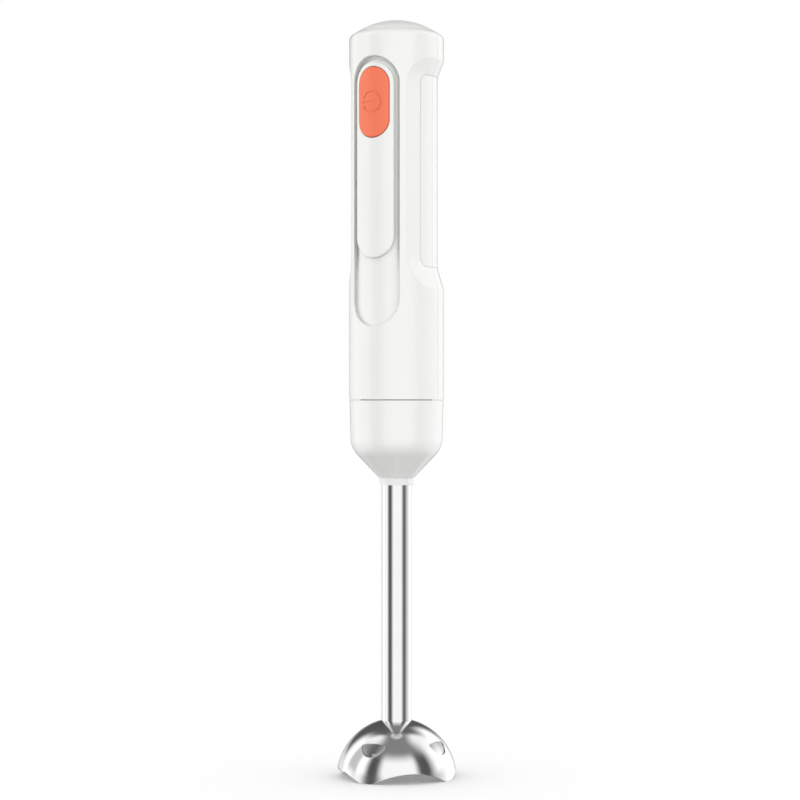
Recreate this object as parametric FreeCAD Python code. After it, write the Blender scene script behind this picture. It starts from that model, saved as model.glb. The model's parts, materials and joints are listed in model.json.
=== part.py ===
import FreeCAD, Part
import math
import os
from FreeCAD import Vector

# Cordless stick blender, standing on the rim of its bell guard.
# Millimetres. +Z is up the shaft, the button faces -Y, and the origin is on the
# axis at the height of the feet. Azimuth is measured from -Y towards +X.

# ---- driving dimensions ----
BODY_R = 25.0
SEAM_Z = 199.05
SEAM_GAP = 0.3
SPLIT_GAP = 0.12
WALL = 2.2
CLEARANCE = 0.3
RUNNING_GAP = 0.05

# head
SHOULDER_Z = 389.0
SHOULDER_R = 3.2
SHOULDER_SLOPE = 31.0
CAP_R = 18.9
CAP_DOME_R = 38.2
CAP_TOP_Z = 399.5
CAP_GAP = 0.25
CAP_SEAT_Z = 392.8

# grip recess round the back and sides
GRIP_R = 21.7
GRIP_LOW_Z = 268.7
GRIP_HIGH_Z = 369.2
GRIP_RAMP_LOW = 11.0
GRIP_RAMP_HIGH = 8.6
FACET_FRONT = 43.0
FACET_REAR = 65.0

# front recess, control panel and button
RECESS_R = 22.7
RECESS_HALF = 13.7
RECESS_LOW_Z = 237.4
RECESS_HIGH_Z = 378.3
PANEL_R = 24.9
PANEL_HALF = 11.0
PANEL_LOW_Z = 273.0
PANEL_HIGH_Z = 375.0
BUTTON_R = 25.6
BUTTON_HALF = 9.0
BUTTON_LOW_Z = 335.7
BUTTON_HIGH_Z = 372.5
BUTTON_TRAVEL = 1.5
BUTTON_FLANGE = 0.75
BUTTON_BACK_R = 20.9
ICON_R = 5.3
ICON_WIDTH = 1.0
ICON_DEPTH = 0.35

# switch behind the button
SWITCH_FRONT_Y = -16.0
SWITCH_Z = (BUTTON_LOW_Z + BUTTON_HIGH_Z) / 2
SWITCH_HALF = (5.0, 6.5)
PLUNGER_R = 1.6
PLUNGER_TIP_Y = -18.2
PLUNGER_INSIDE = 2.6
STEM_R = 2.2
SPRING_R = 3.4
SPRING_WIRE = 0.5
SPRING_TURNS = 3.5

# charging inlet on the back of the head
PORT_Z = 385.0
COVER_HALF_HEIGHT = 3.7
COVER_HALF_WIDTH = 7.2
COVER_R = 24.95
SOCKET_MOUTH_Y = 23.4

# cavity of the handle
CAVITY_R = 22.8
CORE_R = 19.7
CAVITY_LOW_Z = 201.4
CAVITY_HIGH_Z = 390.0
FRONT_NARROW_LOW = (231.0, 234.0)
FRONT_NARROW_HIGH = (381.0, 383.5)

# bayonet between the handle and the foot
SPIGOT_R = 19.0
SPIGOT_BORE_R = 15.5
SPIGOT_LOW_Z = 187.0
RING_TOP_Z = 204.0
LUG_R = 21.2
LUG_LOW_Z = 188.5
LUG_HIGH_Z = 191.5
LUG_ANGLE = 24.0
TWIST_ANGLE = 24.0
LUG_AZIMUTHS = (0, 120, 240)
RING_SCREW_AZIMUTHS = (60, 180, 300)
MOTOR_SCREW_AZIMUTHS = (90, 270)
SCREW_CIRCLE_R = 11.8
SCREW_R = 1.5
SCREW_HEAD_R = 2.4
SCREW_HEAD_SINK = 1.8

# motor
SHAFT_R = 2.5
BRACKET_HEIGHT = 2.2
MOTOR_LOW_Z = RING_TOP_Z + BRACKET_HEIGHT
MOTOR_HIGH_Z = 263.0
MOTOR_R = 18.0
MOTOR_WALL = 1.1
END_CAP_Z = 258.0
MAGNET_R = 14.4
CORE_LOW_Z = 218.0
CORE_HIGH_Z = 244.0
ARMATURE_R = 13.9
SLOT_COUNT = 10
SLOT_CIRCLE_R = 10.0

# battery and boards
CELL_R = 9.2
CELL_LENGTH = 65.0
CELL_LOW_Z = 272.0
CELL_Y = 4.0
BOARD_Y = -8.6
BOARD_THICKNESS = 1.6
TAB_THICKNESS = 0.5
LEAD_X = (4.2, 6.6)
LEAD_Y = BOARD_Y - BOARD_THICKNESS - 2.7

# dog clutch
DOG_ANGLE = 28.0
DOG_PLAY = 4.0
DOG_R = 6.5
DOG_BORE_R = 3.0

# foot
HUB_TOP_Z = SEAM_Z - SEAM_GAP / 2
HUB_TOP_R = 24.85
HUB_SOCKET_Z = 182.0
NECK_R = 9.5
CONE_TOP = (20.55, 169.75)
KNEE_MIDDLE = (23.1, 173.55)
KNEE_TOP = (24.3, 178.3)
CLAMP_LOW_Z = 171.9
CLAMP_HIGH_Z = 175.9
CLAMP_R = 13.4
CLAMP_SCREW_CIRCLE_R = 11.0
CLAMP_SCREW_R = 1.1
TUBE_R = 8.0
TUBE_WALL = 1.0
TUBE_LOW_Z = 27.0
TUBE_HIGH_Z = 176.0
COLLAR_R = 9.1
COLLAR_LOW_Z = 154.2
NECK_Z = 158.2

# bell guard
BELL_R = 31.75
BELL_WALL = 1.0
BELL_CENTRE_Z = -1.1
RIM_HEIGHT = 5.4
RIM_HALF = 21.5
RIM_CREST_R = 39.0
VENT_HALF = 7.1
VENT_CORNER_Z = 18.8
VENT_TOP_Z = 19.8
VENT_LOW_Z = 13.5

# blade
BLADE_Z = 11.0
BLADE_THICKNESS = 1.2
BLADE_R = 22.0
BLADE_HALF = 4.6
BLADE_HUB_R = 6.0
BLADE_FLAT_END = 14.5
BLADE_EDGE = 0.25
BEVEL_WIDTH = 2.2
TIP_BENDS = ((0, 22), (180, -18))


# ---- geometry helpers ----
def polar(radius, azimuth, z=0.0):
    """A point at a radius and an azimuth, which runs from -Y towards +X."""
    turn = math.radians(azimuth)
    return Vector(radius * math.sin(turn), -radius * math.cos(turn), z)


def disc(radius, low, high, x=0.0, y=0.0):
    return Part.makeCylinder(radius, high - low, Vector(x, y, low))


def ring(outer, inner, low, high):
    return disc(outer, low, high).cut(disc(inner, low - 1, high + 1))


def block(low, high):
    """A box between two corners."""
    return Part.makeBox(high[0] - low[0], high[1] - low[1], high[2] - low[2], Vector(*low))


def rod_y(radius, x, z, y_low, y_high):
    """A cylinder along Y."""
    return Part.makeCylinder(radius, y_high - y_low, Vector(x, y_low, z), Vector(0, 1, 0))


def revolve_edges(edges):
    return Part.Face(Part.Wire(edges)).revolve(Vector(), Vector(0, 0, 1), 360)


def revolve(points):
    """A full turn of a closed outline of (radius, height) points."""
    corners = [Vector(r, 0, z) for r, z in points + points[:1]]
    return Part.Face(Part.makePolygon(corners)).revolve(Vector(), Vector(0, 0, 1), 360)


def line(a, b):
    return Part.LineSegment(Vector(*a), Vector(*b)).toShape()


def arc(a, middle, b):
    return Part.Arc(Vector(*a), Vector(*middle), Vector(*b)).toShape()


def prism(corners, low, high):
    """A vertical prism over a closed outline of points in plan."""
    flat = [Vector(p.x, p.y, low) for p in corners + corners[:1]]
    return Part.Face(Part.makePolygon(flat)).extrude(Vector(0, 0, high - low))


def sector(outer, inner, low, high, start, end):
    """A piece of a ring between two azimuths less than 180 degrees apart."""
    reach = outer * 2
    middle = (start + end) / 2
    corners = [Vector(), polar(reach, start), polar(reach * 1.5, middle), polar(reach, end)]
    return ring(outer, inner, low, high).common(prism(corners, low, high))


def pill_y(half, low, high, y_low, y_high):
    """A prism along Y over an upright slot shape, half wide each side of X = 0."""
    start = Vector(-half, y_low, low + half)
    edges = [
        Part.LineSegment(start, Vector(-half, y_low, high - half)).toShape(),
        arc((-half, y_low, high - half), (0, y_low, high), (half, y_low, high - half)),
        line((half, y_low, high - half), (half, y_low, low + half)),
        arc((half, y_low, low + half), (0, y_low, low), (-half, y_low, low + half)),
    ]
    return Part.Face(Part.Wire(edges)).extrude(Vector(0, y_high - y_low, 0))


def flat_pill_y(half_width, half_height, z, y_low, y_high):
    """The same prism lying on its side, about a height."""
    run = half_width - half_height
    edges = [
        line((-run, y_low, z + half_height), (run, y_low, z + half_height)),
        arc((run, y_low, z + half_height), (half_width, y_low, z), (run, y_low, z - half_height)),
        line((run, y_low, z - half_height), (-run, y_low, z - half_height)),
        arc((-run, y_low, z - half_height), (-half_width, y_low, z), (-run, y_low, z + half_height)),
    ]
    return Part.Face(Part.Wire(edges)).extrude(Vector(0, y_high - y_low, 0))


def front_skin(half, low, high, inner, outer):
    """A slot-shaped patch of the front of a cylinder wall."""
    return pill_y(half, low, high, -BODY_R * 2, 0).common(ring(outer, inner, low - 5, high + 5))


def rounded_rim(shape, radius, distance, above=0.0):
    """Round the edges that lie on the cylinder of this radius about Z, above a height."""
    rim = []
    for edge in shape.Edges:
        if edge.Degenerated or edge.BoundBox.ZMin < above:
            continue
        points = edge.discretize(5)
        off = max(abs(math.hypot(p.x, p.y) - distance) for p in points)
        if off < 0.02:
            rim.append(edge)
    return shape.makeFillet(radius, rim)


def screw(x, y, head_z, length, radius, head_radius, direction=1):
    """A pan-head screw along Z whose shank points up (1) or down (-1) from its head."""
    axis = Vector(0, 0, direction)
    head = Part.makeCylinder(head_radius, head_radius * 0.75, Vector(x, y, head_z), axis)
    shank = Part.makeCylinder(radius, length, Vector(x, y, head_z), axis)
    slot = Part.makeBox(head_radius * 3, 0.6, 1.0, Vector(x - head_radius * 1.5, y - 0.3, head_z - 0.5))
    return head.fuse(shank).cut(slot)


# ---- handle housing ----
def body_form():
    """The outside of the handle: a cylinder with a rounded shoulder."""
    centre_r = BODY_R - SHOULDER_R
    end = math.radians(90 - SHOULDER_SLOPE)
    half = end / 2
    low = SEAM_Z + SEAM_GAP / 2
    top_r = centre_r + SHOULDER_R * math.cos(end)
    top_z = SHOULDER_Z + SHOULDER_R * math.sin(end)
    edge_r = CAP_R + CAP_GAP
    edge_z = top_z + (top_r - edge_r) * math.tan(math.radians(SHOULDER_SLOPE))
    middle_r = centre_r + SHOULDER_R * math.cos(half)
    middle_z = SHOULDER_Z + SHOULDER_R * math.sin(half)
    return revolve_edges([
        line((0, 0, low), (BODY_R - 0.3, 0, low)),
        line((BODY_R - 0.3, 0, low), (BODY_R, 0, low + 0.3)),
        line((BODY_R, 0, low + 0.3), (BODY_R, 0, SHOULDER_Z)),
        arc((BODY_R, 0, SHOULDER_Z), (middle_r, 0, middle_z), (top_r, 0, top_z)),
        line((top_r, 0, top_z), (edge_r, 0, edge_z)),
        line((edge_r, 0, edge_z), (0, 0, edge_z)),
        line((0, 0, edge_z), (0, 0, low)),
    ])


def grip_cutter():
    """The finger recess: a band round the back that ends in a flat facet on each side."""
    reach = BODY_R + 1 - GRIP_R
    slope_low = GRIP_RAMP_LOW / (BODY_R - GRIP_R)
    slope_high = GRIP_RAMP_HIGH / (BODY_R - GRIP_R)
    band = revolve([
        (GRIP_R, GRIP_LOW_Z),
        (GRIP_R, GRIP_HIGH_Z),
        (GRIP_R + reach, GRIP_HIGH_Z + slope_high * reach),
        (GRIP_R + reach, GRIP_LOW_Z - slope_low * reach),
    ])
    rear = polar(GRIP_R, FACET_REAR)
    front = polar(BODY_R, FACET_FRONT)
    beyond = front + (front - rear)
    corners = [rear, beyond, Vector(-beyond.x, beyond.y, 0), Vector(-rear.x, rear.y, 0)]
    return band.cut(prism(corners, GRIP_LOW_Z - 40, GRIP_HIGH_Z + 40))


def cavity(narrow_low, narrow_high):
    """The hollow of one housing half, narrow between two heights."""
    return revolve([
        (0, CAVITY_LOW_Z),
        (CAVITY_R, CAVITY_LOW_Z),
        (CAVITY_R, narrow_low[0]),
        (CORE_R, narrow_low[1]),
        (CORE_R, narrow_high[0]),
        (CAVITY_R, narrow_high[1]),
        (CAVITY_R, CAVITY_HIGH_Z),
        (0, CAVITY_HIGH_Z),
    ])


def end_holes():
    """The cap's seat at the top and the bayonet ring's hole at the bottom."""
    seat = disc(CAP_R + CAP_GAP, CAP_SEAT_Z, CAP_TOP_Z)
    throat = disc(CAP_R - 2.4, CAVITY_HIGH_Z - 1, CAP_TOP_Z)
    mouth = disc(SPIGOT_R + 0.2, SEAM_Z - 1, CAVITY_LOW_Z + 1)
    return seat.fuse(throat).fuse(mouth)


def front_housing():
    form = body_form().cut(grip_cutter())
    form = form.cut(front_skin(RECESS_HALF, RECESS_LOW_Z, RECESS_HIGH_Z, RECESS_R, BODY_R + 2))
    form = form.cut(cavity(FRONT_NARROW_LOW, FRONT_NARROW_HIGH))
    form = form.cut(end_holes())
    hole = BUTTON_FLANGE + 0.35
    form = form.cut(pill_y(BUTTON_HALF + hole, BUTTON_LOW_Z - hole, BUTTON_HIGH_Z + hole, -30, -10))
    front = block((-40, -40, 190), (40, -SPLIT_GAP / 2, 410))
    return form.common(front)


def rear_housing():
    form = body_form().cut(grip_cutter())
    low = (GRIP_LOW_Z - GRIP_RAMP_LOW - 0.5, GRIP_LOW_Z)
    high = (GRIP_HIGH_Z, GRIP_HIGH_Z + GRIP_RAMP_HIGH + 0.5)
    form = form.cut(cavity(low, high))
    form = form.cut(end_holes())
    form = form.cut(flat_pill_y(4.8, 1.9, PORT_Z, 10, 30))
    pocket = flat_pill_y(COVER_HALF_WIDTH + 0.3, COVER_HALF_HEIGHT + 0.3, PORT_Z, 10, 30)
    form = form.cut(pocket.common(ring(BODY_R + 2, COVER_R - 0.95, PORT_Z - 10, PORT_Z + 10)))
    rear = block((-40, SPLIT_GAP / 2, 190), (40, 40, 410))
    return form.common(rear)


def top_cap():
    """A shallow dome on a skirt, held by three snap tabs."""
    drop = CAP_DOME_R - math.sqrt(CAP_DOME_R ** 2 - CAP_R ** 2)
    dome = Part.makeSphere(CAP_DOME_R, Vector(0, 0, CAP_TOP_Z - CAP_DOME_R))
    inner = Part.makeSphere(CAP_DOME_R - WALL, Vector(0, 0, CAP_TOP_Z - CAP_DOME_R))
    cap = disc(CAP_R, CAP_SEAT_Z, CAP_TOP_Z + 1).common(dome)
    cap = cap.cut(inner.common(disc(CAP_R - 1.6, CAP_SEAT_Z - 1, CAP_TOP_Z)))
    for azimuth in (30, 150, 270):
        tab = sector(CAP_R - 2.6, CAP_R - 4.0, CAP_SEAT_Z - 5, CAP_TOP_Z - drop, azimuth - 9, azimuth + 9)
        cap = cap.fuse(tab)
    bridge = ring(CAP_R - 1.0, CAP_R - 4.0, CAP_SEAT_Z, CAP_SEAT_Z + 1.6)
    cap = cap.fuse(bridge).removeSplitter()
    return rounded_rim(cap, 0.4, CAP_R, CAP_SEAT_Z + 1)


def control_panel():
    """The raised trim in the front recess, with the button's window."""
    panel = front_skin(PANEL_HALF, PANEL_LOW_Z, PANEL_HIGH_Z, RECESS_R, PANEL_R)
    panel = rounded_rim(panel, 0.7, PANEL_R)
    window = BUTTON_HALF + CLEARANCE
    low = BUTTON_LOW_Z - CLEARANCE
    high = BUTTON_HIGH_Z + CLEARANCE
    return panel.cut(pill_y(window, low, high, -30, -10))


def bayonet_ring():
    """The spigot under the motor, with three lugs that lock into the foot."""
    body = ring(SPIGOT_R, SPIGOT_BORE_R, SPIGOT_LOW_Z, RING_TOP_Z)
    floor = ring(CAVITY_R - 0.2, 8.0, CAVITY_LOW_Z, RING_TOP_Z)
    body = body.fuse(floor)
    half = LUG_ANGLE / 2
    for azimuth in LUG_AZIMUTHS:
        start, end = azimuth - half, azimuth + half
        body = body.fuse(sector(LUG_R, SPIGOT_R - 0.5, LUG_LOW_Z, LUG_HIGH_Z, start, end))
    body = drilled(body, RING_SCREW_AZIMUTHS, SCREW_R, CAVITY_LOW_Z - 1, RING_TOP_Z + 1)
    body = drilled(body, MOTOR_SCREW_AZIMUTHS, SCREW_HEAD_R + 0.5, CAVITY_LOW_Z - 1, RING_TOP_Z + 1)
    return body.removeSplitter()


def drilled(shape, azimuths, radius, low, high):
    """The shape with a hole at each azimuth of the screw circle."""
    for azimuth in azimuths:
        spot = polar(SCREW_CIRCLE_R, azimuth)
        shape = shape.cut(disc(radius, low, high, spot.x, spot.y))
    return shape


def circle_screws(azimuths, head_z, length):
    places = [polar(SCREW_CIRCLE_R, azimuth) for azimuth in azimuths]
    return [screw(p.x, p.y, head_z, length, SCREW_R, SCREW_HEAD_R) for p in places]


def ring_screws():
    return circle_screws(RING_SCREW_AZIMUTHS, CAVITY_LOW_Z - SCREW_HEAD_SINK, 6.4)


def motor_screws():
    return circle_screws(MOTOR_SCREW_AZIMUTHS, RING_TOP_Z - SCREW_HEAD_SINK, 5.4)


# ---- electrics in the handle ----
def control_board():
    front = BOARD_Y - BOARD_THICKNESS
    board = block((-11.5, front, 296), (11.5, BOARD_Y, 374))
    for x in (-9.3, 9.3):
        for z in (299, 371):
            board = board.cut(rod_y(1.2, x, z, front - 1, BOARD_Y + 1))
    return board


def switch_body():
    front = BOARD_Y - BOARD_THICKNESS
    half_x, half_z = SWITCH_HALF
    body = block((-half_x, SWITCH_FRONT_Y, SWITCH_Z - half_z), (half_x, front, SWITCH_Z + half_z))
    bore_end = SWITCH_FRONT_Y + PLUNGER_INSIDE + BUTTON_TRAVEL + 0.7
    bore = rod_y(PLUNGER_R + CLEARANCE, 0, SWITCH_Z, SWITCH_FRONT_Y - 1, bore_end)
    return body.cut(bore)


def switch_plunger():
    return rod_y(PLUNGER_R, 0, SWITCH_Z, PLUNGER_TIP_Y, SWITCH_FRONT_Y + PLUNGER_INSIDE)


def power_transistor():
    front = BOARD_Y - BOARD_THICKNESS
    return block((-5, front - 4.4, 322), (5, front, 337))


def heat_sink():
    back = BOARD_Y - BOARD_THICKNESS - 4.4
    sink = block((-7.5, back - 1.0, 320), (7.5, back, 339))
    for k in range(6):
        x = -7.5 + k * 2.8
        sink = sink.fuse(block((x, back - 2.8, 320), (x + 1.0, back - 0.5, 339)))
    return sink


def capacitor():
    front = BOARD_Y - BOARD_THICKNESS
    return disc(4.0, 301, 315, -5.0, front - 4.0)


def lead_connector():
    front = BOARD_Y - BOARD_THICKNESS
    shell = block((2, front - 5.5, 302), (9, front, 310))
    return shell.cut(block((3, front - 4.5, 301), (8, front - 1.0, 307)))


def lead_wires():
    return [disc(0.8, MOTOR_HIGH_Z + 0.2, 306.5, x, LEAD_Y) for x in LEAD_X]


def battery_cells():
    """Two cylindrical cells side by side, each with its raised positive end."""
    cells = []
    for side in (-1, 1):
        x = side * (CELL_R + 0.05)
        cells.append(disc(CELL_R, CELL_LOW_Z, CELL_LOW_Z + CELL_LENGTH, x, CELL_Y))
    return cells


def battery_tabs():
    top = CELL_LOW_Z + CELL_LENGTH
    low_tab = block((-13, CELL_Y - 4, CELL_LOW_Z - TAB_THICKNESS), (13, CELL_Y + 4, CELL_LOW_Z))
    tabs = [low_tab]
    for x in (-13, 5):
        tabs.append(block((x, CELL_Y - 4, top), (x + 8, CELL_Y + 4, top + TAB_THICKNESS)))
    return tabs


def battery_holder():
    """End plates round the cells, joined by a wall in front of them."""
    half = CELL_LENGTH / 2 + TAB_THICKNESS
    middle = CELL_LOW_Z + CELL_LENGTH / 2
    room = block((-30, -7.4, middle - half - 3), (30, 30, middle + half + 3))
    plates = disc(CORE_R - 0.3, middle - half - 3, middle - half)
    plates = plates.fuse(disc(CORE_R - 0.3, middle + half, middle + half + 3)).common(room)
    wall = block((-12, -7.4, middle - half - 1), (12, -6.2, middle + half + 1))
    return plates.fuse(wall)


def charge_board():
    top = PORT_Z - 1.6
    return block((-9, 4, top - 1.2), (9, 19.5, top))


def charge_socket():
    """The steel shell of a small oval charging socket, with its contact tongue."""
    mouth = SOCKET_MOUTH_Y
    shell = flat_pill_y(4.47, 1.6, PORT_Z, mouth - 7.3, mouth)
    shell = shell.cut(flat_pill_y(4.17, 1.3, PORT_Z, mouth - 6.3, mouth + 1))
    tongue = block((-3.3, mouth - 6.8, PORT_Z - 0.35), (3.3, mouth - 1.4, PORT_Z + 0.35))
    return shell.fuse(tongue)


def port_cover():
    """A rubber flap over the inlet with a shallow sealing lip."""
    flap = flat_pill_y(COVER_HALF_WIDTH, COVER_HALF_HEIGHT, PORT_Z, 10, 30)
    flap = flap.common(ring(COVER_R, COVER_R - 0.85, PORT_Z - 6, PORT_Z + 6))
    lip = flat_pill_y(3.8, 0.85, PORT_Z, 22.8, COVER_R - 0.4)
    return flap.fuse(lip)


# ---- button ----
def power_button():
    """A long push key with a retaining flange, a stem and an engraved ring and bar."""
    key = front_skin(BUTTON_HALF, BUTTON_LOW_Z, BUTTON_HIGH_Z, BUTTON_BACK_R, BUTTON_R)
    key = rounded_rim(key, 0.8, BUTTON_R)
    half = BUTTON_HALF + BUTTON_FLANGE
    low = BUTTON_LOW_Z - BUTTON_FLANGE
    high = BUTTON_HIGH_Z + BUTTON_FLANGE
    flange = front_skin(half, low, high, BUTTON_BACK_R, RECESS_R - 0.4)
    stem = rod_y(STEM_R, 0, SWITCH_Z, -BUTTON_BACK_R - 1, PLUNGER_TIP_Y - CLEARANCE)
    key = key.fuse(flange).fuse(stem)
    floor = disc(BUTTON_R - ICON_DEPTH, BUTTON_LOW_Z, BUTTON_HIGH_Z)
    band = rod_y(ICON_R + ICON_WIDTH / 2, 0, SWITCH_Z, -30, -20)
    band = band.cut(rod_y(ICON_R - ICON_WIDTH / 2, 0, SWITCH_Z, -31, -19))
    band = band.cut(block((-10, -32, SWITCH_Z - 1.9), (0, -18, SWITCH_Z + 1.9)))
    bar = block((-ICON_R - 0.6, -30, SWITCH_Z - ICON_WIDTH / 2), (-0.6, -20, SWITCH_Z + ICON_WIDTH / 2))
    return key.cut(band.fuse(bar).cut(floor))


def button_spring():
    """A square-wire compression coil round the button's stem."""
    half = SPRING_WIRE / 2
    low_y = -BUTTON_BACK_R + 0.4
    high_y = SWITCH_FRONT_Y - 0.3
    length = high_y - low_y - SPRING_WIRE
    path = Part.Wire([Part.makeHelix(length / SPRING_TURNS, length, SPRING_R)])
    section = Part.makePolygon([
        Vector(SPRING_R - half, 0, -half),
        Vector(SPRING_R + half, 0, -half),
        Vector(SPRING_R + half, 0, half),
        Vector(SPRING_R - half, 0, half),
        Vector(SPRING_R - half, 0, -half),
    ])
    coil = path.makePipeShell([section], True, True)
    coil.rotate(Vector(), Vector(1, 0, 0), -90)
    coil.translate(Vector(0, low_y + half, SWITCH_Z))
    return coil


# ---- motor ----
def motor_bracket():
    plate = ring(CAVITY_R - 0.2, 7.0, RING_TOP_Z, MOTOR_LOW_Z)
    azimuths = RING_SCREW_AZIMUTHS + MOTOR_SCREW_AZIMUTHS
    return drilled(plate, azimuths, SCREW_R, RING_TOP_Z - 1, MOTOR_LOW_Z + 1)


def motor_can():
    can = ring(MOTOR_R, MOTOR_R - MOTOR_WALL, MOTOR_LOW_Z, END_CAP_Z)
    can = can.fuse(ring(MOTOR_R, 4.5, MOTOR_LOW_Z, MOTOR_LOW_Z + 1.5))
    azimuths = RING_SCREW_AZIMUTHS + MOTOR_SCREW_AZIMUTHS
    return drilled(can, azimuths, SCREW_R, MOTOR_LOW_Z - 1, MOTOR_LOW_Z + 2).removeSplitter()


def motor_end_cap():
    cap = ring(MOTOR_R, 4.5, END_CAP_Z + 1.5, MOTOR_HIGH_Z)
    rim = ring(MOTOR_R, MOTOR_R - 3, END_CAP_Z, END_CAP_Z + 1.5)
    cap = cap.fuse(rim)
    for x in LEAD_X:
        cap = cap.cut(disc(0.9, END_CAP_Z, MOTOR_HIGH_Z + 1, x, LEAD_Y))
    return cap


def motor_magnets():
    outer = MOTOR_R - MOTOR_WALL
    return [sector(outer, MAGNET_R, 214, 246, side - 62, side + 62) for side in (90, 270)]


def motor_bushes():
    bore = SHAFT_R + RUNNING_GAP
    return [ring(4.5, bore, MOTOR_LOW_Z, MOTOR_LOW_Z + 3), ring(4.5, bore, END_CAP_Z + 1.5, MOTOR_HIGH_Z)]


def carbon_brushes():
    return [
        block((-11, -1.8, 252), (-5.8, 1.8, 257)),
        block((5.8, -1.8, 252), (11, 1.8, 257)),
    ]


def rubber_ring():
    return ring(CORE_R - 0.1, MOTOR_R, 238, 246)


def motor_shaft():
    return disc(SHAFT_R, 194.5, MOTOR_HIGH_Z + 1.5)


def armature_core():
    """A laminated core with winding slots."""
    core = ring(ARMATURE_R, SHAFT_R, CORE_LOW_Z, CORE_HIGH_Z)
    for k in range(SLOT_COUNT):
        azimuth = k * 360 / SLOT_COUNT
        slot = polar(SLOT_CIRCLE_R, azimuth)
        core = core.cut(disc(1.9, CORE_LOW_Z - 1, CORE_HIGH_Z + 1, slot.x, slot.y))
        mouth = block((-0.7, -16, CORE_LOW_Z - 1), (0.7, -SLOT_CIRCLE_R, CORE_HIGH_Z + 1))
        mouth.rotate(Vector(), Vector(0, 0, 1), azimuth)
        core = core.cut(mouth)
    return core


def armature_windings():
    """Copper in the slots, joined by end turns above and below the core."""
    lower = ring(12.4, 6.2, CORE_LOW_Z - 4.5, CORE_LOW_Z - 0.1)
    upper = ring(12.4, 6.2, CORE_HIGH_Z + 0.1, CORE_HIGH_Z + 4.5)
    coil = lower.fuse(upper)
    for k in range(SLOT_COUNT):
        slot = polar(SLOT_CIRCLE_R, k * 360 / SLOT_COUNT)
        coil = coil.fuse(disc(1.7, CORE_LOW_Z - 4, CORE_HIGH_Z + 4, slot.x, slot.y))
    return coil


def commutator():
    drum = ring(5.5, SHAFT_R, 250.5, 258)
    for k in range(10):
        slot = Part.makeBox(0.5, 2, 8.5, Vector(-0.25, -6.5, 250))
        slot.rotate(Vector(), Vector(0, 0, 1), k * 36)
        drum = drum.cut(slot)
    return drum


def cooling_fan():
    fan = ring(5.0, SHAFT_R, 209.6, 213.2).fuse(ring(12.5, SHAFT_R, 212.4, 213.2))
    for k in range(9):
        blade = Part.makeBox(0.8, 8.2, 2.8, Vector(-0.4, -12.5, 209.8))
        blade.rotate(Vector(0, -8, 211), Vector(0, 0, 1), 18)
        blade.rotate(Vector(), Vector(0, 0, 1), k * 40)
        fan = fan.fuse(blade)
    return fan.removeSplitter()


def dogs(low, high, start):
    """Three clutch dogs that begin at this azimuth."""
    starts = [start + turn for turn in LUG_AZIMUTHS]
    pieces = [sector(DOG_R, DOG_BORE_R, low, high, a, a + DOG_ANGLE) for a in starts]
    return pieces[0].fuse(pieces[1:])


def drive_coupling():
    """The motor's half of the dog clutch, facing down."""
    barrel = ring(DOG_R, SHAFT_R, 194.5, 200.5).fuse(disc(DOG_R, 193.5, 194.5))
    return barrel.fuse(dogs(186.5, 193.5, 0))


# ---- foot ----
def hub_outline():
    """The outside of the hub: a slightly tapered barrel, a rounded knee, a cone and a neck."""
    neck = (NECK_R, 0, NECK_Z)
    cone_top = (CONE_TOP[0], 0, CONE_TOP[1])
    knee_middle = (KNEE_MIDDLE[0], 0, KNEE_MIDDLE[1])
    knee_top = (KNEE_TOP[0], 0, KNEE_TOP[1])
    chamfer_low = (HUB_TOP_R, 0, HUB_TOP_Z - 0.3)
    chamfer_high = (HUB_TOP_R - 0.3, 0, HUB_TOP_Z)
    return revolve_edges([
        line((0, 0, NECK_Z), neck),
        line(neck, cone_top),
        arc(cone_top, knee_middle, knee_top),
        line(knee_top, chamfer_low),
        line(chamfer_low, chamfer_high),
        line(chamfer_high, (0, 0, HUB_TOP_Z)),
        line((0, 0, HUB_TOP_Z), (0, 0, NECK_Z)),
    ])


def foot_hub():
    hub = hub_outline()
    hub = hub.cut(disc(SPIGOT_R + 0.35, HUB_SOCKET_Z, HUB_TOP_Z + 1))
    hub = hub.cut(disc(CLAMP_R + 0.2, CLAMP_LOW_Z, HUB_SOCKET_Z + 1))
    hub = hub.cut(disc(TUBE_R, NECK_Z - 1, CLAMP_LOW_Z + 0.1))
    gap = CLEARANCE + 0.05
    outer = LUG_R + gap
    low = LUG_LOW_Z - gap
    half = LUG_ANGLE / 2
    for azimuth in LUG_AZIMUTHS:
        # the foot turns forward to unlock, so its channel lies behind each lug at rest
        start = azimuth - half - TWIST_ANGLE - 3
        channel = sector(outer, SPIGOT_R, low, LUG_HIGH_Z + gap, start, azimuth + half + 2)
        entry_end = azimuth - TWIST_ANGLE + half + 3
        entry = sector(outer, SPIGOT_R, low, HUB_TOP_Z + 1, start, entry_end)
        hub = hub.cut(channel).cut(entry)
    return clamp_holes(hub, CLAMP_LOW_Z - 4.4, CLAMP_LOW_Z + 1)


def clamp_holes(shape, low, high):
    for azimuth in LUG_AZIMUTHS:
        spot = polar(CLAMP_SCREW_CIRCLE_R, azimuth)
        shape = shape.cut(disc(CLAMP_SCREW_R, low, high, spot.x, spot.y))
    return shape


def tube_clamp():
    """The ring that holds the tube's flange down in the hub."""
    clamp = ring(CLAMP_R, TUBE_R, CLAMP_LOW_Z, CLAMP_HIGH_Z)
    return clamp_holes(clamp, CLAMP_LOW_Z - 1, CLAMP_HIGH_Z + 1)


def clamp_screws():
    places = [polar(CLAMP_SCREW_CIRCLE_R, azimuth) for azimuth in LUG_AZIMUTHS]
    return [screw(p.x, p.y, CLAMP_HIGH_Z + 1.5, 9.4, CLAMP_SCREW_R, 2.0, -1) for p in places]


def shaft_collar():
    return ring(COLLAR_R, TUBE_R, COLLAR_LOW_Z, NECK_Z)


def shaft_tube():
    return ring(TUBE_R, TUBE_R - TUBE_WALL, TUBE_LOW_Z, TUBE_HIGH_Z)


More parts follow.
